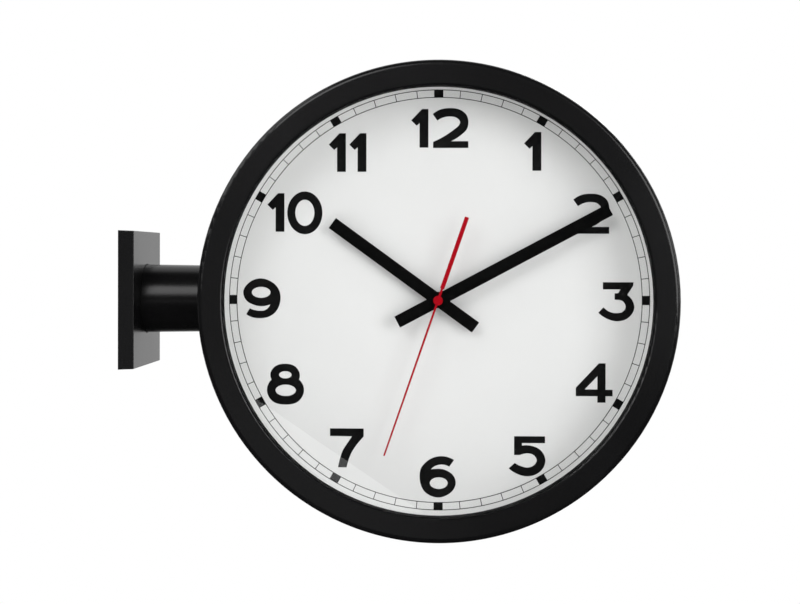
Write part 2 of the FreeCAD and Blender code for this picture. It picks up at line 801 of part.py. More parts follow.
def coil(side, face):
    """Copper winding between two bobbin cheeks, lying along the top of the tray."""
    body = newBody(side + "_coil", face)
    start = "coil_shift - coil_length / 2"
    for radius, offset, length in (("coil_radius", "0", "coil_length"),
                                   ("coil_radius + coil_cheek_rise", "-coil_cheek", "coil_cheek"),
                                   ("coil_radius + coil_cheek_rise", "coil_length", "coil_cheek")):
        sketch = newSketch(body, "YZ_Plane", f"{start} + {offset}")
        addCircle(sketch, "coil_y", "stator_level + wheel_thickness / 2", radius)
        pad(body, sketch, length)
    core = newSketch(body, "YZ_Plane", f"{start} - 2 * coil_cheek")
    half = "(core_width / 2 + core_play)"
    addBox(core, f"coil_y - {half}", "stator_level - core_play",
           f"coil_y + {half}", "stator_level + wheel_thickness + core_play")
    pocket(body, core, "coil_length + 4 * coil_cheek", up=True)
    return body


def stator(side, face):
    """Soft iron plate: through the coil, down both ends and round the rotor's magnet."""
    body = newBody(side + "_stator", face)
    sketch = newSketch(body, "XY_Plane", "stator_level")
    reach = "coil_length / 2 + coil_cheek + stator_leg + coil_cheek"
    left = f"coil_shift - ({reach})"
    right = f"coil_shift + {reach}"
    top = "coil_y + core_width / 2"
    inner = "coil_y - coil_radius - 2 * coil_cheek_rise"
    ring = "(magnet_radius + stator_gap + stator_leg / 2)"
    addOutline(sketch, [
        (left, top),
        (left, f"rotor_y + {ring}"),
        (f"rotor_x - {ring}", f"rotor_y - {ring}"),
        (f"rotor_x + {ring}", f"rotor_y - {ring}"),
        (f"rotor_x + {ring}", f"{inner} - stator_leg"),
        (right, f"{inner} - stator_leg"),
        (right, top),
        (f"{right} - stator_leg", top),
        (f"{right} - stator_leg", inner),
        (f"{left} + stator_leg", inner),
        (f"{left} + stator_leg", top),
    ])
    addCircle(sketch, "rotor_x", "rotor_y", "magnet_radius + stator_gap")
    pad(body, sketch, "wheel_thickness")
    core = newSketch(body, "XY_Plane", "stator_level")
    addBox(core, left, "coil_y - core_width / 2", right, top)
    pad(body, core, "wheel_thickness")
    return body


def battery(side, face):
    """One pen cell lying across the bottom of the movement."""
    body = newBody(side + "_battery", face)
    half = "battery_length / 2"
    can = newSketch(body, "YZ_Plane", f"-{half}")
    addCircle(can, "battery_y", "battery_z", "battery_radius")
    cell = pad(body, can, "battery_length")
    roundEdges(body, cell, "battery_edge", lambda edge: isinstance(edge.Curve, Part.Circle))
    button = newSketch(body, "YZ_Plane", half)
    addCircle(button, "battery_y", "battery_z", "battery_button_radius")
    pad(body, button, "battery_button")
    foot = newSketch(body, "YZ_Plane", f"-{half}")
    addCircle(foot, "battery_y", "battery_z", "battery_foot_radius")
    pad(body, foot, "battery_foot", down=True)
    return body


def batteryContacts(side, face):
    """Two plated strips against the tray's side walls, each with a raised pad on the cell's end."""
    body = newBody(side + "_battery_contacts", face)
    wide = "contact_width / 2"
    raised = "contact_pad / 2"
    ends = [("-", "battery_length / 2 + battery_foot"), ("", "battery_length / 2 + battery_button")]
    for sign, reach in ends:
        wall = f"{sign}tray_inside"
        near = f"{sign}(tray_inside - contact_thickness)"
        strip = newSketch(body, "XY_Plane", f"battery_z - {wide}")
        addBox(strip, near, "battery_y - contact_width", wall, "battery_y + contact_rise")
        pad(body, strip, "contact_width")
        button = newSketch(body, "XY_Plane", f"battery_z - {raised}")
        addBox(button, f"{sign}({reach})", f"battery_y - {raised}", near, f"battery_y + {raised}")
        pad(body, button, "contact_pad")
    return body


# ---------------------------------------------------------------- face: wheels

# A tooth's part of the pitch, and its heights as shares of the module.
wheelShare = 0.42
leafShare = 0.36
knobShare = 0.5
toothRoot = 1.2
toothTip = 0.8
shoulderHeight = 0.55
shoulderShare = 0.62


def toothedFace(teeth, module, share, phase):
    """Flat gear blank: radial flanks below the pitch circle, rounded points above it.

    share is the tooth's part of the pitch, phase the direction in degrees of one tooth's centre.
    """
    pitchRadius = teeth * module / 2
    rootRadius = pitchRadius - toothRoot * module
    tipRadius = pitchRadius + toothTip * module
    halfTooth = math.pi / teeth * share

    def spot(radius, angle):
        return FreeCAD.Vector(radius * math.cos(angle), radius * math.sin(angle), 0)

    edges = []
    for tooth in range(teeth):
        centre = math.radians(phase) + 2 * math.pi * tooth / teeth
        nextFoot = centre + 2 * math.pi / teeth - halfTooth
        shoulder = shoulderShare * halfTooth
        shoulderRadius = pitchRadius + shoulderHeight * module
        foot = spot(rootRadius, centre - halfTooth)
        flank = spot(pitchRadius, centre - halfTooth)
        tip = spot(tipRadius, centre)
        farFlank = spot(pitchRadius, centre + halfTooth)
        farFoot = spot(rootRadius, centre + halfTooth)
        edges.append(Part.makeLine(foot, flank))
        edges.append(Part.Arc(flank, spot(shoulderRadius, centre - shoulder), tip).toShape())
        edges.append(Part.Arc(tip, spot(shoulderRadius, centre + shoulder), farFlank).toShape())
        edges.append(Part.makeLine(farFlank, farFoot))
        middle = (centre + halfTooth + nextFoot) / 2
        edges.append(Part.Arc(farFoot, spot(rootRadius, middle), spot(rootRadius, nextFoot)).toShape())
    return Part.Face(Part.Wire(edges))


def gear(teeth, module, share, phase, bottom, top, x=0.0, y=0.0):
    blank = toothedFace(teeth, module, share, phase).extrude(FreeCAD.Vector(0, 0, top - bottom))
    blank.translate(FreeCAD.Vector(x, y, bottom))
    return blank


def rod(radius, bottom, top, x=0.0, y=0.0):
    return Part.makeCylinder(radius, top - bottom, FreeCAD.Vector(x, y, bottom))


def wheelPart(label, face, pieces, cuts=()):
    """One moulded wheel: its pieces joined and its holes cut."""
    shape = pieces[0].multiFuse(pieces[1:])
    for hole in cuts:
        shape = shape.cut(hole)
    feature = doc.addObject("Part::Feature", label)
    feature.Label = label
    feature.Shape = shape.Solids[0]
    stand(feature, face)


def matePhase(direction, teeth, meshedTeeth, meshedPhase):
    """Phase of a wheel at the far end of direction whose gap takes the other wheel's tooth."""
    pitch = 360.0 / meshedTeeth
    offset = (direction - meshedPhase) / pitch
    fraction = offset - math.floor(offset)
    return direction + 180.0 + (0.5 + fraction) * 360.0 / teeth


def wheelTrain(side, face):
    """All wheels of one movement, in mesh as they stand."""
    thick = number("wheel_thickness")
    tall = number("pinion_height")
    pivot = number("pivot_radius")
    lowEnd = number("arbor_end")
    secondsTeeth, secondsLeaves = int(number("seconds_teeth")), int(number("seconds_leaves"))
    thirdTeeth, thirdLeaves = int(number("third_teeth")), int(number("third_leaves"))
    centreTeeth = int(number("centre_teeth"))
    middleTeeth, middleLeaves = int(number("intermediate_teeth")), int(number("intermediate_leaves"))
    rotorLeaves = int(number("rotor_leaves"))
    cannonLeaves = int(number("cannon_leaves"))
    minuteTeeth, minuteLeaves = int(number("minute_wheel_teeth")), int(number("minute_wheel_leaves"))
    hourTeeth = int(number("hour_teeth"))

    # Modules follow from the arbor distances and the tooth counts.
    fineModule = 2 * number("third_distance") / (secondsLeaves + thirdTeeth)
    slowModule = 2 * number("third_distance") / (thirdLeaves + centreTeeth)
    fastModule = 2 * number("intermediate_distance") / (secondsTeeth + middleLeaves)
    motorModule = 2 * number("rotor_distance") / (middleTeeth + rotorLeaves)
    cannonModule = 2 * number("minute_wheel_distance") / (cannonLeaves + minuteTeeth)
    hourModule = 2 * number("minute_wheel_distance") / (minuteLeaves + hourTeeth)

    thirdTurn = number("third_turn")
    middleTurn = number("intermediate_turn")
    rotorTurn = number("rotor_turn")
    minuteTurn = number("minute_wheel_turn")
    thirdX, thirdY = number("third_x"), number("third_y")
    middleX, middleY = number("intermediate_x"), number("intermediate_y")
    rotorX, rotorY = number("rotor_x"), number("rotor_y")
    minuteX, minuteY = number("minute_wheel_x"), number("minute_wheel_y")
    secondsLevel = number("seconds_level")
    thirdLevel = number("third_level")
    centreLevel = number("centre_level")
    middleLevel = number("intermediate_level")
    cannonLevel = number("cannon_level")
    hourLevel = number("hour_level")
    stemEnd = number("second_hand_level + second_hand_thickness")

    gap = number("level_gap")
    endPlay = number("arbor_end_play")
    overlap = number("pinion_overlap")
    bridgeTop = number("bridge_top")

    # The seconds arbor runs from the cover up through both tubes to the second hand.
    wheelPart(side + "_seconds_wheel", face, [
        gear(secondsTeeth, fastModule, wheelShare, middleTurn, secondsLevel, secondsLevel + thick),
        gear(secondsLeaves, fineModule, leafShare, thirdTurn,
             secondsLevel + thick, thirdLevel + thick + overlap),
        rod(number("seconds_arbor_radius"), secondsLevel, stemEnd),
        rod(pivot, lowEnd, secondsLevel),
    ])
    middlePhase = matePhase(middleTurn, middleLeaves, secondsTeeth, middleTurn)
    wheelPart(side + "_intermediate_wheel", face, [
        gear(middleTeeth, motorModule, wheelShare, rotorTurn,
             middleLevel, middleLevel + thick, middleX, middleY),
        gear(middleLeaves, fastModule, leafShare, middlePhase,
             middleLevel + thick, secondsLevel + thick + overlap, middleX, middleY),
        rod(pivot, lowEnd, bridgeTop, middleX, middleY),
    ])
    rotorPhase = matePhase(rotorTurn, rotorLeaves, middleTeeth, rotorTurn)
    magnetLevel = number("magnet_level")
    wheelPart(side + "_rotor", face, [
        gear(rotorLeaves, motorModule, leafShare, rotorPhase,
             middleLevel - overlap, magnetLevel, rotorX, rotorY),
        rod(number("magnet_radius"), magnetLevel, magnetLevel + number("magnet_height"), rotorX, rotorY),
        rod(pivot, lowEnd, bridgeTop, rotorX, rotorY),
    ])
    thirdPhase = matePhase(thirdTurn, thirdTeeth, secondsLeaves, thirdTurn)
    thirdEnd = number("third_post_end + pivot_depth") - 2 * endPlay
    wheelPart(side + "_third_wheel", face, [
        gear(thirdTeeth, fineModule, wheelShare, thirdPhase, thirdLevel, thirdLevel + thick, thirdX, thirdY),
        gear(thirdLeaves, slowModule, leafShare, thirdTurn,
             centreLevel - 2 * overlap, centreLevel + thick + overlap, thirdX, thirdY),
        rod(pivot, lowEnd, thirdEnd, thirdX, thirdY),
    ])
    centrePhase = matePhase(thirdTurn + 180, centreTeeth, thirdLeaves, thirdTurn)
    tubeRadius = number("minute_tube_radius")
    collarTop = cannonLevel - endPlay
    wheelPart(side + "_centre_wheel", face, [
        gear(centreTeeth, slowModule, wheelShare, centrePhase, centreLevel, centreLevel + thick),
        rod(tubeRadius + number("clutch_wall"), centreLevel, collarTop),
    ], [rod(tubeRadius + number("running_play"), centreLevel, collarTop)])

    minuteTop = number("minute_hand_level + hand_thickness")
    wheelPart(side + "_minute_arbor", face, [
        gear(cannonLeaves, cannonModule, leafShare, minuteTurn, cannonLevel, cannonLevel + tall),
        rod(tubeRadius, centreLevel - gap / 2, minuteTop),
    ], [rod(number("minute_tube_bore"), centreLevel - gap, minuteTop)])

    minutePhase = matePhase(minuteTurn, minuteTeeth, cannonLeaves, minuteTurn)
    minuteLevel = cannonLevel + gap / 2
    minuteEnd = number("tray_floor + movement_wall / 2") - endPlay
    knobTop = number("tray_back - knob_gap")
    knobFoot = knobTop - number("knob_height")
    ribs = int(number("knob_ribs"))
    ribModule = 2 * number("knob_radius") / (ribs + 2 * toothTip)
    wheelPart(side + "_minute_wheel", face, [
        gear(minuteTeeth, cannonModule, wheelShare, minutePhase,
             minuteLevel, minuteLevel + thick, minuteX, minuteY),
        gear(minuteLeaves, hourModule, leafShare, minuteTurn,
             minuteLevel + thick, hourLevel + thick + overlap, minuteX, minuteY),
        rod(number("minute_arbor_radius"), knobFoot, minuteLevel, minuteX, minuteY),
        rod(pivot, minuteLevel, minuteEnd, minuteX, minuteY),
        gear(ribs, ribModule, knobShare, 0, knobFoot, knobTop, minuteX, minuteY),
    ])
    hourPhase = matePhase(minuteTurn + 180, hourTeeth, minuteLeaves, minuteTurn)
    hourTop = number("hour_hand_level + hand_thickness")
    wheelPart(side + "_hour_wheel", face, [
        gear(hourTeeth, hourModule, wheelShare, hourPhase, hourLevel, hourLevel + thick),
        rod(number("hour_tube_radius"), hourLevel, hourTop),
    ], [rod(number("hour_tube_bore"), hourLevel, hourTop)])


# ---------------------------------------------------------------- face: hands

def barHand(label, face, turn, length, level, tube):
    """Square-ended flat bar with a short collet beneath, pushed on its tube."""
    body = newBody(label, handPlacement(face, turn))
    bar = newSketch(body, "XY_Plane", level)
    addBox(bar, "-hand_width / 2", "-hand_tail", "hand_width / 2", length)
    pad(body, bar, "hand_thickness")
    collet = newSketch(body, "XY_Plane", level)
    addCircle(collet, "0", "0", f"{tube} + collet_wall")
    pad(body, collet, "collet_height", down=True)
    bore = newSketch(body, "XY_Plane", f"{level} - collet_height")
    addCircle(bore, "0", "0", tube)
    pocket(body, bore, "collet_height + hand_thickness", up=True)
    return body


def secondHand(side, face):
    """Thin tapering needle, a wider counterweight on a short neck, and a round cap over the arbor."""
    body = newBody(side + "_second_hand", handPlacement(face, "second_hand_turn"))
    level = "second_hand_level"
    blade = newSketch(body, "XY_Plane", level)
    addOutline(blade, [
        ("-needle_tip / 2", "second_hand_length"),
        ("-needle_root / 2", "0"),
        ("-neck_width / 2", "-hub_radius / 2"),
        ("-neck_width / 2", "-neck_length"),
        ("-weight_width / 2", "-neck_length"),
        ("-weight_width / 2", "-second_hand_tail"),
        ("weight_width / 2", "-second_hand_tail"),
        ("weight_width / 2", "-neck_length"),
        ("neck_width / 2", "-neck_length"),
        ("neck_width / 2", "-hub_radius / 2"),
        ("needle_root / 2", "0"),
        ("needle_tip / 2", "second_hand_length"),
    ])
    pad(body, blade, "second_hand_thickness")
    base = f"{level} - hub_height / 2"
    top = f"{level} + hub_height / 2"
    turned(body, [
        ("0", base),
        ("hub_radius", base),
        ("hub_radius", f"{top} - hub_chamfer"),
        ("hub_radius - hub_chamfer", top),
        ("0", top),
    ])
    bore = newSketch(body, "XY_Plane", base)
    addCircle(bore, "0", "0", "seconds_arbor_radius")
    pocket(body, bore, "hub_height / 2 + second_hand_thickness", up=True)
    return body


wallBracket()
wallCover()
coverScrews()
armTube()
armSaddle()
armScrews()
caseDrum()

clockCentre = FreeCAD.Vector(number("clock_reach"), 0, 0)
standing = FreeCAD.Rotation(FreeCAD.Vector(1, 0, 0), 90)
halfTurn = FreeCAD.Rotation(FreeCAD.Vector(0, 0, 1), 180)
for side, turnRound in (("front", FreeCAD.Rotation()), ("rear", halfTurn)):
    face = FreeCAD.Placement(clockCentre, turnRound.multiply(standing))
    bezel(side, face)
    bezelScrews(side, face)
    glass(side, face)
    revealRing(side, face)
    ringScrews(side, face)
    dial(side, face)
    movementCase(side, face)
    movementNut(side, face)
    trainBridge(side, face)
    movementCover(side, face)
    circuitBoard(side, face)
    coil(side, face)
    stator(side, face)
    battery(side, face)
    batteryContacts(side, face)
    wheelTrain(side, face)
    barHand(side + "_hour_hand", face, "hour_hand_turn", "hour_hand_length", "hour_hand_level",
            "hour_tube_radius")
    barHand(side + "_minute_hand", face, "minute_hand_turn", "minute_hand_length", "minute_hand_level",
            "minute_tube_radius")
    secondHand(side, face)

doc.recompute()

# Every object has to be sound before anything is written.
faults = [item.Label for item in doc.Objects if "Invalid" in item.State or "Error" in item.State]
if faults:
    raise RuntimeError("not built: " + ", ".join(faults))
subParts = [item for item in doc.Objects if item.TypeId in ("PartDesign::Body", "Part::Feature")]
for item in subParts:
    if item.Shape.isNull() or not item.Shape.isValid() or not item.Shape.Solids:
        raise RuntimeError("no sound solid: " + item.Label)
for item in subParts:
    item.Shape.exportStep(f"parts/{item.Label}.step")
    print(f"{item.Label}: {len(item.Shape.Solids)} solid(s), {item.Shape.Volume:.1f} mm3")
print(len(subParts), "sub-parts")
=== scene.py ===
import json
import math

import bmesh
import bpy
import numpy as np
from mathutils import Matrix, Vector

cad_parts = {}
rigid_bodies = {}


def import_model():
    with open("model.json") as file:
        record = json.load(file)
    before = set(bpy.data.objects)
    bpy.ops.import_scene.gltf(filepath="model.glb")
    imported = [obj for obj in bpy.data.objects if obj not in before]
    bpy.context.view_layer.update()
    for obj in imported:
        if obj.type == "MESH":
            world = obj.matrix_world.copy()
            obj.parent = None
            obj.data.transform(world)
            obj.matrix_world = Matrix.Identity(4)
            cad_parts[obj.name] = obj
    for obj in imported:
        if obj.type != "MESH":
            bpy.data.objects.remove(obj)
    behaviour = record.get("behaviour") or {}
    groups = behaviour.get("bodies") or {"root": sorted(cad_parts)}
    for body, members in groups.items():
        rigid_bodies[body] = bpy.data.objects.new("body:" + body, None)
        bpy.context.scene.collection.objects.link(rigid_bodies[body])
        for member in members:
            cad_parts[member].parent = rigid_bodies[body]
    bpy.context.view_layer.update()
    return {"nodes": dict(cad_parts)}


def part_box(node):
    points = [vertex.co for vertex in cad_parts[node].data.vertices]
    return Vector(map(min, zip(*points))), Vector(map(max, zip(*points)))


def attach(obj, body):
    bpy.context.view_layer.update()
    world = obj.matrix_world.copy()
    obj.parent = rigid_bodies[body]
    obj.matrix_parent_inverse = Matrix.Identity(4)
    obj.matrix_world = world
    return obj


# the file's first objects come out, so that the frame stands alone
for leftover in list(bpy.data.objects):
    bpy.data.objects.remove(leftover)

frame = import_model()
print("frame loaded:", len(frame["nodes"]), "pieces")

scene = bpy.context.scene
scene.view_settings.view_transform = "Standard"

# the clock's own marks in the frame, in metres: the dials' centre line and the level of each dial's face
clockReach = 0.1932
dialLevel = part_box("rear_dial")[1].y
mm = 0.001
sides = ("front", "rear")


# camera: the photograph's viewing angle. Places are in metres, turns in radians, the focal length and the
# optical axis in pixels of the picture
viewpoint = {
    "place": (0.21086, -1.00773, 0.02644),
    "turnLeft": 0.0444,
    "tiltDown": 0.0020,
    "roll": 0.0014,
    "focal": 1613.14,
    "axis": (395.82, 259.77),
    "picture": (800, 604),
    "sensor": 36.0,
    "clip": (0.02, 60.0),
}


def placeCamera(v):
    wide, high = v["picture"]
    data = bpy.data.cameras.new("clockView")
    data.sensor_width = v["sensor"]
    data.lens = v["focal"] / wide * v["sensor"]
    # shift = distance of the optical axis from the picture's centre, in picture widths
    data.shift_x = (wide / 2 - v["axis"][0]) / wide
    data.shift_y = (v["axis"][1] - high / 2) / wide
    data.clip_start, data.clip_end = v["clip"]
    camera = bpy.data.objects.new("clockView", data)
    ahead = Vector((-math.sin(v["turnLeft"]) * math.cos(v["tiltDown"]),
                    math.cos(v["turnLeft"]) * math.cos(v["tiltDown"]), -math.sin(v["tiltDown"])))
    level = Vector((math.cos(v["turnLeft"]), math.sin(v["turnLeft"]), 0.0))
    above = level.cross(ahead)
    right = level * math.cos(v["roll"]) + above * math.sin(v["roll"])
    above = above * math.cos(v["roll"]) - level * math.sin(v["roll"])
    turned = Matrix((right, above, -ahead)).transposed().to_4x4()
    camera.matrix_world = Matrix.Translation(v["place"]) @ turned
    scene.collection.objects.link(camera)
    scene.camera = camera


placeCamera(viewpoint)
print("camera placed")


# shader helpers: those that add a node to a tree give its output back

def colour(red, green, blue):
    return (red, green, blue, 1.0)


def feed(tree, socket, value):
    # a value that is a socket is linked, any other is set
    if isinstance(value, bpy.types.NodeSocket):
        tree.links.new(value, socket)
    else:
        socket.default_value = value


def addMath(tree, operation, first, second=None, clamp=False):
    node = tree.nodes.new("ShaderNodeMath")
    node.operation = operation
    node.use_clamp = clamp
    feed(tree, node.inputs[0], first)
    if second is not None:
        feed(tree, node.inputs[1], second)
    return node.outputs[0]


def addRise(tree, value, least, gain):
    # (value - least) * gain, held between 0 and 1
    return addMath(tree, "MULTIPLY", addMath(tree, "SUBTRACT", value, least), gain, clamp=True)


def addVectorMath(tree, operation, first, second):
    node = tree.nodes.new("ShaderNodeVectorMath")
    node.operation = operation
    feed(tree, node.inputs[0], first)
    feed(tree, node.inputs[1], second)
    return node.outputs["Value" if operation == "DISTANCE" else "Vector"]


def splitVector(tree, vector):
    node = tree.nodes.new("ShaderNodeSeparateXYZ")
    tree.links.new(vector, node.inputs[0])
    return node.outputs


def addNoise(tree, vector, scale, detail=2.0, roughness=0.5):
    node = tree.nodes.new("ShaderNodeTexNoise")
    feed(tree, node.inputs["Vector"], vector)
    feed(tree, node.inputs["Scale"], scale)
    feed(tree, node.inputs["Detail"], detail)
    feed(tree, node.inputs["Roughness"], roughness)
    return node.outputs["Fac"]


def addMix(tree, share, first, second, kind="RGBA"):
    # each kind of value has its own pair of inputs and its own output on the node
    node = tree.nodes.new("ShaderNodeMix")
    node.data_type = kind
    pair, result = {"FLOAT": (2, 0), "RGBA": (6, 2)}[kind]
    feed(tree, node.inputs[0], share)
    feed(tree, node.inputs[pair], first)
    feed(tree, node.inputs[pair + 1], second)
    return node.outputs[result]


def addRamp(tree, value, reach, levels, kind="SMOOTHSTEP"):
    # from the first level, where the reach starts, to the second, where it ends
    node = tree.nodes.new("ShaderNodeMapRange")
    node.interpolation_type = kind
    feed(tree, node.inputs["Value"], value)
    for label, number in zip(("From Min", "From Max", "To Min", "To Max"), (*reach, *levels)):
        node.inputs[label].default_value = number
    return node.outputs["Result"]


def coverOutput(tree, share, plain, cover):
    # a tree's surface = the cover shader over the plain one, by the share
    mix = tree.nodes.new("ShaderNodeMixShader")
    feed(tree, mix.inputs[0], share)
    tree.links.new(plain.outputs[0], mix.inputs[1])
    tree.links.new(cover.outputs[0], mix.inputs[2])
    tree.links.new(mix.outputs[0], tree.nodes["Material Output"].inputs["Surface"])


# room: white behind the clock, and dim where it is mirrored from the side that the front dial faces
room = {
    "plainAcross": 0.56,
    "plainAhead": 0.73,
    "behind": 0.8,
    "before": 0.012,
    "turn": (0.1, 0.4),
}


def lightRoom(r):
    world = bpy.data.worlds.new("softRoom")
    scene.world = world
    world.use_nodes = True
    tree = world.node_tree
    tree.nodes.clear()
    rays = tree.nodes.new("ShaderNodeLightPath").outputs
    along = splitVector(tree, tree.nodes.new("ShaderNodeTexCoord").outputs["Generated"])["Y"]
    # mirrored level = smooth step of the ray's way along Y, from before the clock to behind it
    mirrored = addRamp(tree, along, r["turn"], (r["before"], r["behind"]))
    # plain light for the surfaces = from across to straight ahead with the square of the way along Y
    squared = addMath(tree, "MULTIPLY", along, along)
    plain = addRamp(tree, squared, (0.0, 1.0), (r["plainAcross"], r["plainAhead"]), "LINEAR")
    # strength = plain light for the surfaces, the mirrored level for mirrored rays, white for what is seen
    mirrors = addMath(tree, "MAXIMUM", rays["Is Glossy Ray"], rays["Is Transmission Ray"])
    unseen = addMix(tree, mirrors, plain, mirrored, "FLOAT")
    strength = addMix(tree, rays["Is Camera Ray"], unseen, 1.0, "FLOAT")
    background = tree.nodes.new("ShaderNodeBackground")
    background.inputs["Color"].default_value = colour(1.0, 1.0, 1.0)
    tree.links.new(strength, background.inputs["Strength"])
    output = tree.nodes.new("ShaderNodeOutputWorld")
    tree.links.new(background.outputs[0], output.inputs["Surface"])


# lamps: a soft one on each side of the camera, the left one higher; one behind for the rear dial; a narrow
# white card low on the left, which the front pane mirrors at its lower left edge; and one well out on each
# side, which the rounded edge of the front bezel mirrors
lamps = {
    "frontLeft": {"place": (-0.35, -1.3, 0.74), "size": (0.75, 0.75), "power": 6.3},
    "frontRight": {"place": (1.2, -1.35, 0.25), "size": (0.9, 0.9), "power": 10.4},
    "rear": {"place": (1.1, 1.5, 1.1), "size": (0.9, 0.9), "power": 16.0},
    "card": {"place": (-0.028, -1.5, -0.2995), "size": (0.6, 0.1), "power": 0.15,
             "aim": (-0.028, 0.0, -0.2995), "spin": -34.0},
    "sideLeft": {"place": (-0.85, -0.25, 1.0), "size": (0.8, 0.8), "power": 3.6},
    "sideRight": {"place": (1.7, -0.2, 0.25), "size": (0.5, 0.5), "power": 2.2},
}


def hangLamps(rows):
    # a lamp faces the middle of the clock, unless its row has an aim; its spin in degrees is about that way
    for name, row in rows.items():
        data = bpy.data.lights.new(name, "AREA")
        data.shape = "RECTANGLE"
        data.size, data.size_y = row["size"]
        data.energy = row["power"]
        lamp = bpy.data.objects.new(name, data)
        place = Vector(row["place"])
        turn = (place - Vector(row.get("aim", (clockReach, 0, 0)))).to_track_quat("Z", "Y")
        spin = Matrix.Rotation(math.radians(row.get("spin", 0.0)), 4, "Z")
        lamp.matrix_world = Matrix.Translation(place) @ turn.to_matrix().to_4x4() @ spin
        scene.collection.objects.link(lamp)


lightRoom(room)
hangLamps(lamps)
print("room lit")


# shared effects: node groups that put out colours, masks and heights for any material

def newGroup(name, inputs, outputs):
    group = bpy.data.node_groups.new(name, "ShaderNodeTree")
    for label, kind, value in inputs:
        socket = group.interface.new_socket(label, in_out="INPUT", socket_type=kind)
        socket.default_value = value
    for label, kind in outputs:
        group.interface.new_socket(label, in_out="OUTPUT", socket_type=kind)
    return group, group.nodes.new("NodeGroupInput").outputs, group.nodes.new("NodeGroupOutput").inputs


def makeSurfaceTone():
    # colour = mix of two tones by slow patches with a little fine speckle; roughness follows the patches
    group, given, result = newGroup("surfaceTone", [
        ("Vector", "NodeSocketVector", (0, 0, 0)),
        ("Tone", "NodeSocketColor", (0.5, 0.5, 0.5, 1)),
        ("Other Tone", "NodeSocketColor", (0.6, 0.6, 0.6, 1)),
        ("Patch Scale", "NodeSocketFloat", 12.0),
        ("Speck Scale", "NodeSocketFloat", 900.0),
        ("Speck Share", "NodeSocketFloat", 0.25),
        ("Roughness", "NodeSocketFloat", 0.4),
        ("Roughness Spread", "NodeSocketFloat", 0.1),
    ], [("Color", "NodeSocketColor"), ("Roughness", "NodeSocketFloat"), ("Mask", "NodeSocketFloat")])
    patches = addNoise(group, given["Vector"], given["Patch Scale"], detail=4.0, roughness=0.55)
    specks = addNoise(group, given["Vector"], given["Speck Scale"], detail=2.0, roughness=0.6)
    # mask = twice the patches less a half, held between 0 and 1, with the specks' share added
    wide = addMath(group, "SUBTRACT", addMath(group, "MULTIPLY", patches, 2.0), 0.5, clamp=True)
    fine = addMath(group, "MULTIPLY", addMath(group, "SUBTRACT", specks, 0.5), given["Speck Share"])
    mask = addMath(group, "ADD", wide, fine, clamp=True)
    group.links.new(addMix(group, mask, given["Tone"], given["Other Tone"]), result["Color"])
    swing = addMath(group, "MULTIPLY", addMath(group, "SUBTRACT", mask, 0.5), given["Roughness Spread"])
    group.links.new(addMath(group, "ADD", given["Roughness"], swing), result["Roughness"])
    group.links.new(mask, result["Mask"])
    return group


def makeCoatGrain():
    # height = rounded cells of a sprayed or moulded skin, with a slower waviness under them
    group, given, result = newGroup("coatGrain", [
        ("Vector", "NodeSocketVector", (0, 0, 0)),
        ("Grain Scale", "NodeSocketFloat", 1200.0),
        ("Wave Scale", "NodeSocketFloat", 120.0),
        ("Wave Share", "NodeSocketFloat", 0.4),
    ], [("Height", "NodeSocketFloat")])
    grain = addNoise(group, given["Vector"], given["Grain Scale"], detail=1.0, roughness=0.4)
    wave = addNoise(group, given["Vector"], given["Wave Scale"], detail=1.0, roughness=0.4)
    slow = addMath(group, "MULTIPLY", wave, given["Wave Share"])
    group.links.new(addMath(group, "ADD", grain, slow), result["Height"])
    return group


# hairlines of handling and cleaning: the two ways they run, their tilts, and the noise levels they start at
hairlines = {"turns": (0.5, 2.1), "tilts": (1.0, 0.7, 1.3), "stretch": (1.0, 14.0, 14.0), "least": 0.64,
             "gain": 9.0, "patchScale": 18.0, "patchLeast": 0.42, "patchGain": 5.0}


def makeFineMarks(h):
    # mask = thin hairlines in two directions, kept where a slow noise is high
    group, given, result = newGroup("fineMarks", [
        ("Vector", "NodeSocketVector", (0, 0, 0)),
        ("Scale", "NodeSocketFloat", 60.0),
        ("Amount", "NodeSocketFloat", 0.3),
    ], [("Mask", "NodeSocketFloat")])
    thin = []
    for turn in h["turns"]:
        mapping = group.nodes.new("ShaderNodeMapping")
        mapping.inputs["Rotation"].default_value = [turn * tilt for tilt in h["tilts"]]
        mapping.inputs["Scale"].default_value = h["stretch"]
        group.links.new(given["Vector"], mapping.inputs["Vector"])
        lines = addNoise(group, mapping.outputs["Vector"], given["Scale"], roughness=0.6)
        thin.append(addRise(group, lines, h["least"], h["gain"]))
    slow = addNoise(group, given["Vector"], h["patchScale"])
    kept = addRise(group, slow, h["patchLeast"], h["patchGain"])
    both = addMath(group, "MULTIPLY", addMath(group, "MAXIMUM", *thin), kept)
    group.links.new(addMath(group, "MULTIPLY", both, given["Amount"]), result["Mask"])
    return group


def makeDrawnLines():
    # height = streaks along one axis, as rolling, drawing or turning leaves them
    group, given, result = newGroup("drawnLines", [
        ("Vector", "NodeSocketVector", (0, 0, 0)),
        ("Stretch", "NodeSocketVector", (4.0, 400.0, 400.0)),
    ], [("Height", "NodeSocketFloat")])
    scaled = addVectorMath(group, "MULTIPLY", given["Vector"], given["Stretch"])
    group.links.new(addNoise(group, scaled, 1.0, detail=3.0, roughness=0.6), result["Height"])
    return group


surfaceTone = makeSurfaceTone()
coatGrain = makeCoatGrain()
fineMarks = makeFineMarks(hairlines)
drawnLines = makeDrawnLines()


def startMaterial(name):
    material = bpy.data.materials.new(name)
    material.use_nodes = True
    tree = material.node_tree
    where = tree.nodes.new("ShaderNodeTexCoord")
    return material, tree, tree.nodes["Principled BSDF"], where.outputs["Object"]


def addGroup(tree, group, **values):
    # places a shared effect; the names of its values use _ for a space
    node = tree.nodes.new("ShaderNodeGroup")
    node.node_tree = group
    for label, value in values.items():
        feed(tree, node.inputs[label.replace("_", " ")], value)
    return node.outputs


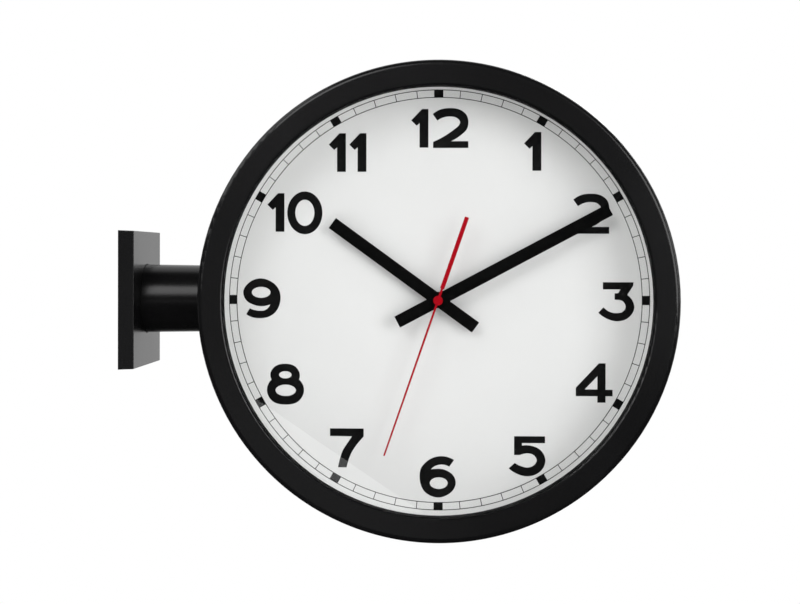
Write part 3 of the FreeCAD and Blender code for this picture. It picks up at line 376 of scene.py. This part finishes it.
def addTone(tree, where, f):
    tone = addGroup(tree, surfaceTone, Vector=where, Tone=f["tone"], Other_Tone=f["other"],
                    Patch_Scale=f["patch"], Speck_Scale=f["speck"], Speck_Share=f["speckShare"],
                    Roughness=f["roughness"], Roughness_Spread=f["spread"])
    return tone["Color"], tone["Roughness"]


def addGrain(tree, where, f):
    return addGroup(tree, coatGrain, Vector=where, Grain_Scale=f["grain"], Wave_Scale=f["wave"],
                    Wave_Share=f["waveShare"])["Height"]


def addMarks(tree, where, f):
    return addGroup(tree, fineMarks, Vector=where, Scale=f["markScale"], Amount=f["marks"])["Mask"]


def dress(tree, shader, tone, rough, height, depth):
    # gives a shader its colour, roughness and bump
    tree.links.new(tone, shader.inputs["Base Color"])
    tree.links.new(rough, shader.inputs["Roughness"])
    bump = tree.nodes.new("ShaderNodeBump")
    bump.inputs["Distance"].default_value = depth
    tree.links.new(height, bump.inputs["Height"])
    tree.links.new(bump.outputs["Normal"], shader.inputs["Normal"])


# what coated pieces share, unless their own rows say otherwise
coatSkin = {"metal": 0.0, "specular": 0.5, "marks": 0.0, "markScale": 90.0}

# finishes of the case, dial, hands and movement, named as the record's slots
finishes = {
    "black_coat": {
        "tone": colour(0.0034, 0.0034, 0.0037), "other": colour(0.0058, 0.0058, 0.0062),
        "patch": 9.0, "speck": 1500.0, "speckShare": 0.5, "roughness": 0.245, "spread": 0.05,
        "grain": 900.0, "wave": 160.0, "waveShare": 0.6, "depth": 6e-6, "specular": 0.4, "marks": 0.015,
        "lip": {"radius": 0.1274, "fade": 0.0006, "specular": 0.06, "roughness": 0.65}},
    "screw_black": {
        "tone": colour(0.03, 0.03, 0.033), "other": colour(0.06, 0.058, 0.055),
        "patch": 300.0, "speck": 3000.0, "speckShare": 0.6, "roughness": 0.38, "spread": 0.2,
        "grain": 3000.0, "wave": 500.0, "waveShare": 0.5, "depth": 5e-6, "metal": 0.8, "marks": 0.2},
    "reveal_white": {
        "tone": colour(0.66, 0.66, 0.65), "other": colour(0.74, 0.74, 0.73),
        "patch": 14.0, "speck": 1800.0, "speckShare": 0.3, "roughness": 0.6, "spread": 0.12,
        "grain": 1500.0, "wave": 90.0, "waveShare": 0.8, "depth": 5e-6, "specular": 0.3},
    "dial_white": {
        "tone": colour(0.77, 0.772, 0.768), "other": colour(0.81, 0.812, 0.806),
        "patch": 10.0, "speck": 1600.0, "speckShare": 0.4, "roughness": 0.62, "spread": 0.1,
        "grain": 1300.0, "wave": 60.0, "waveShare": 0.6, "depth": 4e-6, "specular": 0.25},
    "movement_black": {
        "tone": colour(0.012, 0.012, 0.013), "other": colour(0.022, 0.022, 0.024),
        "patch": 40.0, "speck": 1800.0, "speckShare": 0.6, "roughness": 0.5, "spread": 0.14,
        "grain": 1500.0, "wave": 300.0, "waveShare": 0.3, "depth": 2.5e-5, "specular": 0.4, "marks": 0.12},
    "movement_grey": {
        "tone": colour(0.19, 0.19, 0.20), "other": colour(0.26, 0.26, 0.27),
        "patch": 60.0, "speck": 1500.0, "speckShare": 0.5, "roughness": 0.48, "spread": 0.14,
        "grain": 1800.0, "wave": 300.0, "waveShare": 0.3, "depth": 1.5e-5, "specular": 0.4, "marks": 0.15},
    "gear_white": {
        "tone": colour(0.66, 0.64, 0.57), "other": colour(0.76, 0.74, 0.68),
        "patch": 120.0, "speck": 2500.0, "speckShare": 0.3, "roughness": 0.35, "spread": 0.12,
        "grain": 3000.0, "wave": 500.0, "waveShare": 0.5, "depth": 4e-6, "marks": 0.1},
    "gear_red": {
        "tone": colour(0.36, 0.02, 0.02), "other": colour(0.48, 0.035, 0.03),
        "patch": 120.0, "speck": 2500.0, "speckShare": 0.3, "roughness": 0.33, "spread": 0.12,
        "grain": 3000.0, "wave": 500.0, "waveShare": 0.5, "depth": 4e-6, "marks": 0.1},
    "magnet_grey": {
        "tone": colour(0.07, 0.07, 0.078), "other": colour(0.15, 0.15, 0.155),
        "patch": 300.0, "speck": 4000.0, "speckShare": 0.9, "roughness": 0.5, "spread": 0.2,
        "grain": 4000.0, "wave": 700.0, "waveShare": 0.4, "depth": 1e-5, "metal": 0.4, "marks": 0.1},
    "hand_black": {
        "tone": colour(0.0010, 0.0010, 0.0010), "other": colour(0.0022, 0.0022, 0.0022),
        "patch": 30.0, "speck": 2200.0, "speckShare": 0.5, "roughness": 0.5, "spread": 0.1,
        "grain": 2000.0, "wave": 200.0, "waveShare": 0.5, "depth": 5e-6, "specular": 0.03, "marks": 0.05},
    "hand_red": {
        "tone": colour(0.33, 0.0004, 0.005), "other": colour(0.38, 0.0010, 0.009),
        "patch": 60.0, "speck": 2500.0, "speckShare": 0.3, "roughness": 0.36, "spread": 0.1,
        "grain": 2500.0, "wave": 250.0, "waveShare": 0.5, "depth": 4e-6, "specular": 0.05, "marks": 0.05},
}


def addLip(tree, shader, where, f, rough):
    # the bezel's lip, nearer the clock's centre line than its face, is coated more thinly and stays dull
    lip = f["lip"]
    across = addVectorMath(tree, "MULTIPLY", where, (1, 0, 1))
    away = addVectorMath(tree, "DISTANCE", across, (clockReach, 0, 0))
    reach = (lip["radius"], lip["radius"] + lip["fade"])
    tree.links.new(addRamp(tree, away, reach, (lip["specular"], f["specular"])),
                   shader.inputs["Specular IOR Level"])
    dull = addMath(tree, "MULTIPLY", addRamp(tree, away, reach, (1.0, 0.0)), lip["roughness"])
    return addMath(tree, "MAXIMUM", rough, dull)


def coatedFinish(name, look):
    # a sprayed, moulded or blackened skin: two tones in patches, fine grain in the bump, faint hairlines
    f = {**coatSkin, **look}
    material, tree, shader, where = startMaterial(name)
    shader.inputs["Metallic"].default_value = f["metal"]
    shader.inputs["Specular IOR Level"].default_value = f["specular"]
    tone, rough = addTone(tree, where, f)
    height = addGrain(tree, where, f)
    if f["marks"]:
        mask = addMarks(tree, where, f)
        rough = addMath(tree, "ADD", rough, mask)
        height = addMath(tree, "SUBTRACT", height, mask)
    if "lip" in f:
        rough = addLip(tree, shader, where, f, rough)
    dress(tree, shader, tone, rough, height, f["depth"])
    return material


# bare and plated metals: what they share, then each one's tone and the way its streaks run
metalSkin = {"patch": 90.0, "speck": 2500.0, "speckShare": 0.5, "spread": 0.2, "marks": 0.25,
             "markScale": 120.0}

metals = {
    "screw_steel": {
        "tone": colour(0.50, 0.50, 0.52), "other": colour(0.62, 0.61, 0.58),
        "roughness": 0.3, "stretch": (900.0, 900.0, 900.0), "depth": 6e-6},
    "bracket_steel": {
        "tone": colour(0.42, 0.43, 0.45), "other": colour(0.56, 0.56, 0.55),
        "roughness": 0.42, "stretch": (600.0, 14.0, 600.0), "depth": 1.2e-5},
    "soft_iron": {
        "tone": colour(0.38, 0.38, 0.39), "other": colour(0.5, 0.49, 0.48),
        "roughness": 0.4, "stretch": (20.0, 900.0, 900.0), "depth": 6e-6},
    "nut_black": {
        "tone": colour(0.02, 0.02, 0.021), "other": colour(0.045, 0.044, 0.042),
        "roughness": 0.5, "stretch": (60.0, 3500.0, 60.0), "depth": 5e-6},
    "contact_plate": {
        "tone": colour(0.58, 0.55, 0.48), "other": colour(0.70, 0.67, 0.60),
        "roughness": 0.26, "stretch": (900.0, 900.0, 30.0), "depth": 4e-6},
}


def metalFinish(name, look):
    # plated or bare metal: streaks the way it was worked, duller patches and hairlines
    f = {**metalSkin, **look}
    material, tree, shader, where = startMaterial(name)
    shader.inputs["Metallic"].default_value = 1.0
    tone, rough = addTone(tree, where, f)
    streaks = addGroup(tree, drawnLines, Vector=where, Stretch=f["stretch"])["Height"]
    mask = addMarks(tree, where, f)
    dress(tree, shader, tone, addMath(tree, "ADD", rough, mask), addMath(tree, "SUBTRACT", streaks, mask),
          f["depth"])
    return material


# clear pane: light passes straight through for shadows, so the dial behind it keeps its level
pane = {"tint": colour(0.995, 0.997, 0.996), "ior": 1.5, "smearScale": 26.0, "smearDetail": 4.0,
        "smearLeast": 0.55, "smearRoughness": 0.03}


def paneFinish(p):
    material, tree, shader, where = startMaterial("clear_pane")
    shader.inputs["Base Color"].default_value = p["tint"]
    shader.inputs["Transmission Weight"].default_value = 1.0
    shader.inputs["IOR"].default_value = p["ior"]
    smears = addNoise(tree, where, p["smearScale"], detail=p["smearDetail"], roughness=0.6)
    raised = addMath(tree, "SUBTRACT", smears, p["smearLeast"], clamp=True)
    tree.links.new(addMath(tree, "MULTIPLY", raised, p["smearRoughness"]), shader.inputs["Roughness"])
    clear = tree.nodes.new("ShaderNodeBsdfTransparent")
    clear.inputs["Color"].default_value = p["tint"]
    rays = tree.nodes.new("ShaderNodeLightPath").outputs
    through = addMath(tree, "MAXIMUM", rays["Is Shadow Ray"], rays["Is Diffuse Ray"])
    coverOutput(tree, through, shader, clear)
    return material


# winding: enamelled wire laid along the coil's axis, turn beside turn, with painted shade darkening the
# grooves between the turns
winding = {"tone": colour(0.48, 0.17, 0.05), "gap": colour(0.12, 0.035, 0.01), "wire": 0.00022,
           "roundness": 0.6, "metal": 0.8, "roughness": 0.3, "grain": 700.0, "spread": 0.2, "depth": 5e-5}


def windingFinish(w):
    material, tree, shader, where = startMaterial("coil_copper")
    shader.inputs["Metallic"].default_value = w["metal"]
    # round of each wire = half sine across its own width
    turn = addMath(tree, "FRACT", addMath(tree, "MULTIPLY", splitVector(tree, where)["X"], 1.0 / w["wire"]))
    crown = addMath(tree, "SINE", addMath(tree, "MULTIPLY", turn, math.pi))
    # colour = painted shade at each wire's edges, rising to the copper tone on its crown: the dark tone is
    # shade painted into the grooves between turns, not a colour of the wire
    tone = addMix(tree, addMath(tree, "POWER", crown, w["roundness"]), w["gap"], w["tone"])
    grain = addMath(tree, "MULTIPLY", addNoise(tree, where, w["grain"]), w["spread"])
    dress(tree, shader, tone, addMath(tree, "ADD", w["roughness"], grain), crown, w["depth"])
    return material


# circuit board: green lacquer over copper traces, with tinned pads
board = {"lacquer": colour(0.012, 0.085, 0.03), "trace": colour(0.03, 0.17, 0.06),
         "pad": colour(0.55, 0.54, 0.5), "traceScale": 900.0, "traceWidth": 0.09, "padScale": 420.0,
         "padScatter": 0.35, "padSize": 0.24, "padMetal": 0.9, "roughness": 0.3, "grain": 1500.0,
         "spread": 0.15, "grainHeight": 0.2, "depth": 2e-5}


def boardFinish(b):
    material, tree, shader, where = startMaterial("board_green")
    # the board stands upright, so the traces' pattern is turned from the ground plane into it
    turned = tree.nodes.new("ShaderNodeMapping")
    turned.inputs["Rotation"].default_value = (math.radians(-90), 0, 0)
    tree.links.new(where, turned.inputs["Vector"])
    traces = tree.nodes.new("ShaderNodeTexBrick")
    for label, value in (("Vector", turned.outputs["Vector"]), ("Scale", b["traceScale"]),
                         ("Color1", b["lacquer"]), ("Color2", b["lacquer"]), ("Mortar", b["trace"]),
                         ("Mortar Size", b["traceWidth"])):
        feed(tree, traces.inputs[label], value)
    dots = tree.nodes.new("ShaderNodeTexVoronoi")
    for label, value in (("Vector", where), ("Scale", b["padScale"]), ("Randomness", b["padScatter"])):
        feed(tree, dots.inputs[label], value)
    pads = addMath(tree, "LESS_THAN", dots.outputs["Distance"], b["padSize"])
    tree.links.new(addMath(tree, "MULTIPLY", pads, b["padMetal"]), shader.inputs["Metallic"])
    grain = addNoise(tree, where, b["grain"])
    rough = addMath(tree, "ADD", b["roughness"], addMath(tree, "MULTIPLY", grain, b["spread"]))
    height = addMath(tree, "ADD", pads, addMath(tree, "MULTIPLY", grain, b["grainHeight"]))
    dress(tree, shader, addMix(tree, pads, traces.outputs["Color"], b["pad"]), rough, height, b["depth"])
    return material


# battery: bare steel ends, a dark sleeve and one plain coppery band at the positive end
cell = {"tone": colour(0.010, 0.014, 0.028), "other": colour(0.020, 0.028, 0.056),
        "band": colour(0.42, 0.2, 0.07), "bandMetal": 0.7, "steel": colour(0.6, 0.6, 0.6),
        "halfLength": 0.0245, "bandWidth": 0.0115, "edge": 0.0005,
        "patch": 80.0, "speck": 2500.0, "speckShare": 0.2, "roughness": 0.26, "spread": 0.1,
        "grain": 2000.0, "wave": 200.0, "waveShare": 0.8, "depth": 5e-6}


def cellFinish(c, side):
    # zones by the distance from the clock's centre line, measured towards the positive end
    material, tree, shader, where = startMaterial("cell_wrap_" + side)
    way = 1.0 if side == "front" else -1.0
    aside = addMath(tree, "SUBTRACT", splitVector(tree, where)["X"], clockReach)
    along = addMath(tree, "MULTIPLY", aside, way)
    bare = addMath(tree, "GREATER_THAN", addMath(tree, "ABSOLUTE", along), c["halfLength"] - c["edge"])
    band = addMath(tree, "GREATER_THAN", along, c["halfLength"] - c["bandWidth"])
    sleeve, rough = addTone(tree, where, c)
    tone = addMix(tree, bare, addMix(tree, band, sleeve, c["band"]), c["steel"])
    metal = addMath(tree, "MAXIMUM", addMath(tree, "MULTIPLY", band, c["bandMetal"]), bare)
    tree.links.new(metal, shader.inputs["Metallic"])
    dress(tree, shader, tone, rough, addGrain(tree, where, c), c["depth"])
    return material


made = {name: coatedFinish(name, look) for name, look in finishes.items()}
made.update({name: metalFinish(name, look) for name, look in metals.items()})
made["clear_pane"] = paneFinish(pane)
made["coil_copper"] = windingFinish(winding)
made["board_green"] = boardFinish(board)
cellFinishes = {side: cellFinish(cell, side) for side in sides}

for name, node in frame["nodes"].items():
    for place in node.material_slots:
        slotName = place.material.name.split(".")[0]
        if slotName == "cell_wrap":
            place.material = cellFinishes[name.split("_")[0]]
        else:
            place.material = made[slotName]
print("finishes given to", len(frame["nodes"]), "pieces")


# dial print in millimetres: radii and widths, how far the print stands above the dial and reaches into it,
# and how much higher the hour blocks are, so that their tops lie clear of the rings'
track = {"innerRing": 123.5, "outerRing": 128.05, "line": 0.45, "tick": 0.45,
         "blockWide": 5.6, "blockInner": 123.49, "blockOuter": 127.99, "blockRise": 0.01,
         "print": 0.05, "sink": 0.02, "steps": 360}

# each numeral: outline points from its lower left corner, in millimetres, where a third value marks a sharp
# corner. Holes are (centre x, centre y, half width, half height)
numeralShapes = {
    "1": {"outline": [(0, 0, 1), (0, 23.57, 1), (-3.95, 23.57, 1), (-10.49, 16.62, 1), (-7.14, 13.35, 1),
                      (-5.4, 14.99, 1), (-5.4, 0, 1)]},
    "2": {"outline": [(0, 0, 1), (21.47, 0, 1), (21.47, 4.14, 1), (10.98, 4.14, 1), (17.38, 8.2),
                      (20.5, 11.36), (21.47, 15.45), (20.3, 20.2), (16.6, 23.2), (10.3, 24.31),
                      (4.2, 23.4), (-0.27, 20.71, 1), (2.62, 16.68, 1), (6.3, 18.6), (10.3, 19.18),
                      (14.5, 18.2), (16.43, 15.59), (15.48, 13.54), (13.57, 11.91), (0, 3.73, 1)]},
    "3": {"outline": [(2.73, 23.68, 1), (2.73, 19.33, 1), (13.36, 19.33, 1), (11.94, 17.0, 1),
                      (9.82, 17.0, 1), (9.82, 13.05, 1), (10.73, 13.05), (14.9, 12.0), (16.49, 8.8),
                      (15.0, 6.0), (10.93, 4.96), (6.6, 5.9), (3.14, 8.5, 1), (0, 5.16, 1), (5.67, 1.32),
                      (11.13, 0), (18.42, 2.33), (21.76, 8.6), (20.44, 12.85), (17.51, 15.99, 1),
                      (21.05, 21.6, 1), (21.25, 23.68, 1)]},
    "4": {"outline": [(13.06, 0, 1), (18.02, 0, 1), (18.02, 3.9, 1), (22.27, 3.9, 1), (22.27, 7.85, 1),
                      (18.02, 7.85, 1), (18.02, 23.89, 1), (13.97, 23.89, 1), (0, 9.01, 1), (0, 3.9, 1),
                      (13.06, 3.9, 1)],
          "cut": [(13.06, 15.99, 1), (5.36, 8.0, 1), (13.06, 8.0, 1)]},
    "5": {"outline": [(3.26, 24.38, 1), (3.26, 12.93, 1), (6.83, 12.93, 1), (8.62, 13.56), (11.56, 13.98),
                      (15.55, 12.61), (17.02, 9.88), (14.92, 6.52), (11.56, 5.36), (7.78, 6.09),
                      (3.68, 8.09, 1), (0, 4.83, 1), (5.04, 1.47), (11.14, 0), (17.02, 1.47),
                      (21.02, 5.25), (22.28, 9.88), (21.02, 13.87), (18.28, 16.81), (14.5, 18.4),
                      (11.0, 18.9), (8.09, 18.71, 1), (8.09, 20.22, 1), (22.07, 20.22, 1),
                      (22.07, 24.38, 1)]},
    "6": {"outline": [(21.02, 22.91, 1), (17.4, 24.6), (13.03, 25.22), (7.8, 24.1), (3.6, 21.3),
                      (1.05, 18.2), (0, 12.9), (0.4, 8.9), (2.7, 3.9), (6.9, 0.95), (11.35, 0),
                      (17.2, 1.8), (20.8, 5.1), (22.03, 8.93), (20.8, 13.1), (17.4, 16.0), (13.7, 17.34),
                      (10.4, 17.5), (6.94, 17.1, 1), (9.5, 19.2), (13.03, 20.07), (15.8, 19.8),
                      (18.07, 18.81, 1)],
          "hole": [(11.66, 8.76, 5.42, 3.53)]},
    "7": {"outline": [(0, 19.13, 1), (13.46, 18.93, 1), (10.43, 14.47), (8.0, 10.63), (5.97, 4.55),
                      (4.96, 0, 1), (10.22, 0, 1), (11.44, 4.55), (13.46, 9.41), (16.7, 14.27),
                      (20.65, 18.83, 1), (20.65, 23.79, 1), (0, 23.79, 1)]},
    "8": {"outline": [(2.84, 15.34, 1), (2.1, 18.81), (4.6, 23.1), (11.14, 25.01), (17.7, 23.1),
                      (20.18, 18.81), (19.76, 15.34, 1), (22.0, 12.5), (22.8, 8.93), (19.9, 2.5),
                      (11.4, 0), (2.9, 2.5), (0, 8.93), (0.8, 12.5)],
          "hole": [(11.31, 18.24, 3.83, 2.21), (11.56, 8.76, 6.24, 3.47)]},
    "9": {"outline": [(1.82, 2.43, 1), (5.06, 0.7), (10.93, 0), (15.2, 0.7), (19.6, 3.5), (22.3, 8.2),
                      (22.97, 12.85), (22.3, 16.7), (19.8, 20.5), (16.2, 23.0), (10.73, 24.39),
                      (4.2, 22.3), (0, 15.89), (2.0, 10.8), (6.5, 8.2), (11.13, 7.35), (14.2, 7.7),
                      (16.6, 8.4, 1), (15.2, 6.2), (13.2, 4.86), (10.52, 4.55), (7.0, 4.95),
                      (4.05, 6.07, 1)],
          "hole": [(11.03, 15.83, 5.73, 3.34)]},
    "0": {"round": (10.78, 13.09, 10.78, 13.09),
          "hole": [(10.78, 13.09, 5.85, 7.98)]},
}

# numeral, and the place of its lower left corner from the dial's centre (the 1: of its lower right corner)
numerals = [("1", -6.26, 92.87), ("2", -3.39, 92.63), ("1", 62.4, 78.71), ("2", 82.06, 40.45),
            ("3", 97.01, -12.65), ("4", 83.46, -62.09), ("5", 42.87, -107.13), ("6", -11.33, -120.44),
            ("7", -66.2, -102.44), ("8", -104.96, -64.29), ("9", -119.61, -11.43), ("1", -94.34, 41.54),
            ("0", -92.57, 40.02), ("1", -56.68, 78.16), ("1", -44.1, 78.16)]


# points that a numeral's curve gets from one outline point to the next, and points round a hole
outlineSteps, holeSteps = 9, 64


def smoothOutline(rows, steps=outlineSteps):
    # closed curve through the points: cubic between neighbours, each smooth point's direction being the
    # mean of its two chords weighted by the other's length, and a sharp point's mirrored across its chord
    spots = np.array([row[:2] for row in rows], float)
    sharp = np.array([len(row) > 2 for row in rows])
    chord = np.roll(spots, -1, 0) - spots
    length = np.linalg.norm(chord, axis=1)[:, None]
    unit = chord / length
    before, beforeLength = np.roll(unit, 1, 0), np.roll(length, 1, 0)
    way = before * length + unit * beforeLength
    way /= np.linalg.norm(way, axis=1)[:, None]
    start, end = way.copy(), np.roll(way, -1, 0)
    sharpEnd = np.roll(sharp, -1)
    mirror = lambda v: 2 * (v * unit).sum(1)[:, None] * unit - v
    startSharp, endSharp = mirror(end), mirror(start)
    start = np.where(sharp[:, None], np.where(sharpEnd[:, None], unit, startSharp), start)
    end = np.where(sharpEnd[:, None], np.where(sharp[:, None], unit, endSharp), end)
    t = np.linspace(0, 1, steps, endpoint=False)[None, :, None]
    p, q = spots[:, None], np.roll(spots, -1, 0)[:, None]
    a, b = (start * length)[:, None], (end * length)[:, None]
    curve = ((2 * t**3 - 3 * t**2 + 1) * p + (t**3 - 2 * t**2 + t) * a
             + (3 * t**2 - 2 * t**3) * q + (t**3 - t**2) * b)
    straight = (sharp & sharpEnd)[:, None] & (np.arange(steps) > 0)[None]
    return curve[~straight]


def ellipse(row, steps=holeSteps):
    # row = middle x, middle y, half width, half height
    turn = np.linspace(0, 2 * math.pi, steps, endpoint=False)
    return np.stack([row[0] + row[2] * np.cos(turn), row[1] + row[3] * np.sin(turn)], 1)


def numeralOutlines():
    found = []
    for name, x, y in numerals:
        shape = numeralShapes[name]
        lines = [ellipse(shape["round"])] if "round" in shape else [smoothOutline(shape["outline"])]
        if "cut" in shape:
            lines.append(smoothOutline(shape["cut"]))
        lines += [ellipse(row) for row in shape.get("hole", [])]
        found += [line + (x, y) for line in lines]
    return found


def dialMatrix(side):
    # from a dial's own x right, y up, z out to the clock's frame; the rear dial is the front turned round
    way = 1 if side == "front" else -1
    return Matrix(((way, 0, 0, clockReach), (0, 0, -way, 0), (0, 1, 0, 0), (0, 0, 0, 1)))


# points nearer than this, in metres, are one
sameSpot = 1e-7


def finishPiece(mesh, name, side, material):
    # joins doubled points, turns faces outwards, and sets the piece on its dial
    work = bmesh.new()
    work.from_mesh(mesh)
    bmesh.ops.remove_doubles(work, verts=work.verts, dist=sameSpot)
    bmesh.ops.recalc_face_normals(work, faces=work.faces)
    work.to_mesh(mesh)
    work.free()
    mesh.transform(dialMatrix(side))
    mesh.materials.append(material)
    piece = bpy.data.objects.new(name, mesh)
    scene.collection.objects.link(piece)
    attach(piece, side + "_face")


def numeralMesh(level):
    # filled outlines with a small thickness
    curve = bpy.data.curves.new("numerals", "CURVE")
    curve.dimensions = "2D"
    curve.fill_mode = "BOTH"
    curve.extrude = (track["print"] + track["sink"]) / 2 * mm
    for line in numeralOutlines():
        spline = curve.splines.new("POLY")
        spline.points.add(len(line) - 1)
        flat = np.zeros((len(line), 4), np.float32)
        flat[:, :2] = line * mm
        flat[:, 3] = 1
        spline.points.foreach_set("co", flat.ravel())
        spline.use_cyclic_u = True
    holder = bpy.data.objects.new("numerals", curve)
    scene.collection.objects.link(holder)
    bpy.context.view_layer.update()
    mesh = bpy.data.meshes.new_from_object(holder.evaluated_get(bpy.context.evaluated_depsgraph_get()))
    bpy.data.objects.remove(holder)
    middle = level + (track["print"] - track["sink"]) / 2 * mm
    mesh.transform(Matrix.Translation((0, 0, middle)))
    return mesh


def boxes(turns, wide, inner, outer, bottom, top):
    # one flat bar for each direction, square to its radius, with eight corners
    side = np.array([-1, 1, 1, -1]) * wide / 2
    out = np.array([inner, inner, outer, outer], float)
    x = np.sin(turns)[:, None] * out + np.cos(turns)[:, None] * side
    y = np.cos(turns)[:, None] * out - np.sin(turns)[:, None] * side
    flat = np.stack([x, y], 2)
    lower = np.concatenate([flat, np.full(flat.shape[:2] + (1,), bottom)], 2)
    upper = np.concatenate([flat, np.full(flat.shape[:2] + (1,), top)], 2)
    points = np.concatenate([lower, upper], 1).reshape(-1, 3)
    faces = np.array([(0, 1, 2, 3), (7, 6, 5, 4), (0, 4, 5, 1), (1, 5, 6, 2), (2, 6, 7, 3), (3, 7, 4, 0)])
    return points, (faces[None] + 8 * np.arange(len(turns))[:, None, None]).reshape(-1, 4)


def band(radius, wide, bottom, top, steps):
    # a rectangle carried round the dial's axis
    profile = np.array([(radius - wide / 2, bottom), (radius + wide / 2, bottom),
                        (radius + wide / 2, top), (radius - wide / 2, top)])
    turn = np.linspace(0, 2 * math.pi, steps, endpoint=False)
    points = np.stack([np.cos(turn)[:, None] * profile[:, 0], np.sin(turn)[:, None] * profile[:, 0],
                       np.broadcast_to(profile[:, 1], (steps, 4))], 2).reshape(-1, 3)
    here, corner = np.meshgrid(np.arange(steps), np.arange(4), indexing="ij")
    following, nextCorner = (here + 1) % steps, (corner + 1) % 4
    faces = np.stack([here * 4 + corner, following * 4 + corner, following * 4 + nextCorner,
                      here * 4 + nextCorner], 2).reshape(-1, 4)
    return points, faces


def trackMesh(level):
    # minute track: two thin rings, a tick a minute, and a block each hour
    bottom = level - track["sink"] * mm
    top = level + track["print"] * mm
    minutes = np.arange(60)
    ticks = np.radians(6.0 * minutes[minutes % 5 > 0])
    hours = np.radians(30.0 * np.arange(12))
    half = track["line"] / 2
    parts = [
        band(track["innerRing"] * mm, track["line"] * mm, bottom, top, track["steps"]),
        band(track["outerRing"] * mm, track["line"] * mm, bottom, top, track["steps"]),
        boxes(ticks, track["tick"] * mm, (track["innerRing"] + half) * mm, (track["outerRing"] - half) * mm,
              bottom, top),
        boxes(hours, track["blockWide"] * mm, track["blockInner"] * mm, track["blockOuter"] * mm,
              bottom, top + track["blockRise"] * mm),
    ]
    offsets = np.cumsum([0] + [len(points) for points, _ in parts[:-1]])
    mesh = bpy.data.meshes.new("track")
    mesh.from_pydata(np.concatenate([points for points, _ in parts]), [],
                     np.concatenate([faces + offset for (_, faces), offset in zip(parts, offsets)]))
    return mesh


# ink of the numerals and the track
printLook = {"tone": colour(0.0022, 0.0022, 0.0023), "other": colour(0.0046, 0.0046, 0.0047), "patch": 40.0,
             "speck": 2600.0, "speckShare": 0.6, "roughness": 0.5, "spread": 0.12, "grain": 2200.0,
             "wave": 300.0, "waveShare": 0.4, "depth": 3e-6, "specular": 0.08}
printFinish = coatedFinish("printInk", printLook)

for side in sides:
    finishPiece(numeralMesh(dialLevel), side + "_numerals", side, printFinish)
    finishPiece(trackMesh(dialLevel), side + "_minute_track", side, printFinish)
print("dials printed")


# floor: a wide pale disc well below the clock, white where it runs out of sight
floor = {"level": -0.46, "radius": 9.0, "rings": 12, "spokes": 64,
         "tone": colour(0.80, 0.80, 0.80), "other": colour(0.82, 0.82, 0.82), "patch": 3.0, "speck": 300.0,
         "speckShare": 0.2, "roughness": 0.8, "spread": 0.1,
         "white": (0.3, 1.1), "nearShare": 0.25, "mirrorTurn": (0.3, 1.6)}


def floorMesh(f):
    # disc of rings; each ring's radius grows with the square of its number
    rings, spokes = f["rings"], f["spokes"]
    radius = f["radius"] * (np.arange(1, rings + 1) / rings) ** 2
    turn = np.linspace(0, 2 * math.pi, spokes, endpoint=False)
    points = np.stack([clockReach + radius[:, None] * np.cos(turn), radius[:, None] * np.sin(turn),
                       np.full((rings, spokes), f["level"])], 2).reshape(-1, 3)
    points = np.concatenate([points, [(clockReach, 0, f["level"])]])
    ring, spoke = np.meshgrid(np.arange(rings - 1), np.arange(spokes), indexing="ij")
    following = (spoke + 1) % spokes
    quads = np.stack([ring * spokes + spoke, (ring + 1) * spokes + spoke, (ring + 1) * spokes + following,
                      ring * spokes + following], 2).reshape(-1, 4)
    centre = [(rings * spokes, s, (s + 1) % spokes) for s in range(spokes)]
    mesh = bpy.data.meshes.new("floor")
    mesh.from_pydata(points, [], quads.tolist() + centre)
    return mesh


def floorFinish(f):
    material, tree, shader, where = startMaterial("paleFloor")
    tone, rough = addTone(tree, where, f)
    tree.links.new(tone, shader.inputs["Base Color"])
    tree.links.new(rough, shader.inputs["Roughness"])
    rays = tree.nodes.new("ShaderNodeLightPath").outputs
    # seen share of plain white = a ramp of the distance from under the clock
    away = addVectorMath(tree, "DISTANCE", where, (clockReach, 0, f["level"]))
    share = addRamp(tree, away, f["white"], (f["nearShare"], 1.0))
    seen = addMath(tree, "MULTIPLY", rays["Is Camera Ray"], share)
    # what is mirrored dims towards the side that the front dial faces, as the room does
    mirrored = addMath(tree, "MAXIMUM", rays["Is Transmission Ray"], rays["Is Glossy Ray"])
    depth = addRamp(tree, splitVector(tree, where)["Y"], f["mirrorTurn"], (room["before"], room["behind"]))
    white = tree.nodes.new("ShaderNodeEmission")
    tree.links.new(addMath(tree, "MAXIMUM", rays["Is Camera Ray"], depth), white.inputs["Strength"])
    coverOutput(tree, addMath(tree, "MAXIMUM", seen, mirrored), shader, white)
    return material


def layFloor(f):
    mesh = floorMesh(f)
    disc = bpy.data.objects.new("floor", mesh)
    scene.collection.objects.link(disc)
    mesh.materials.append(floorFinish(f))


layFloor(floor)
print("floor laid")
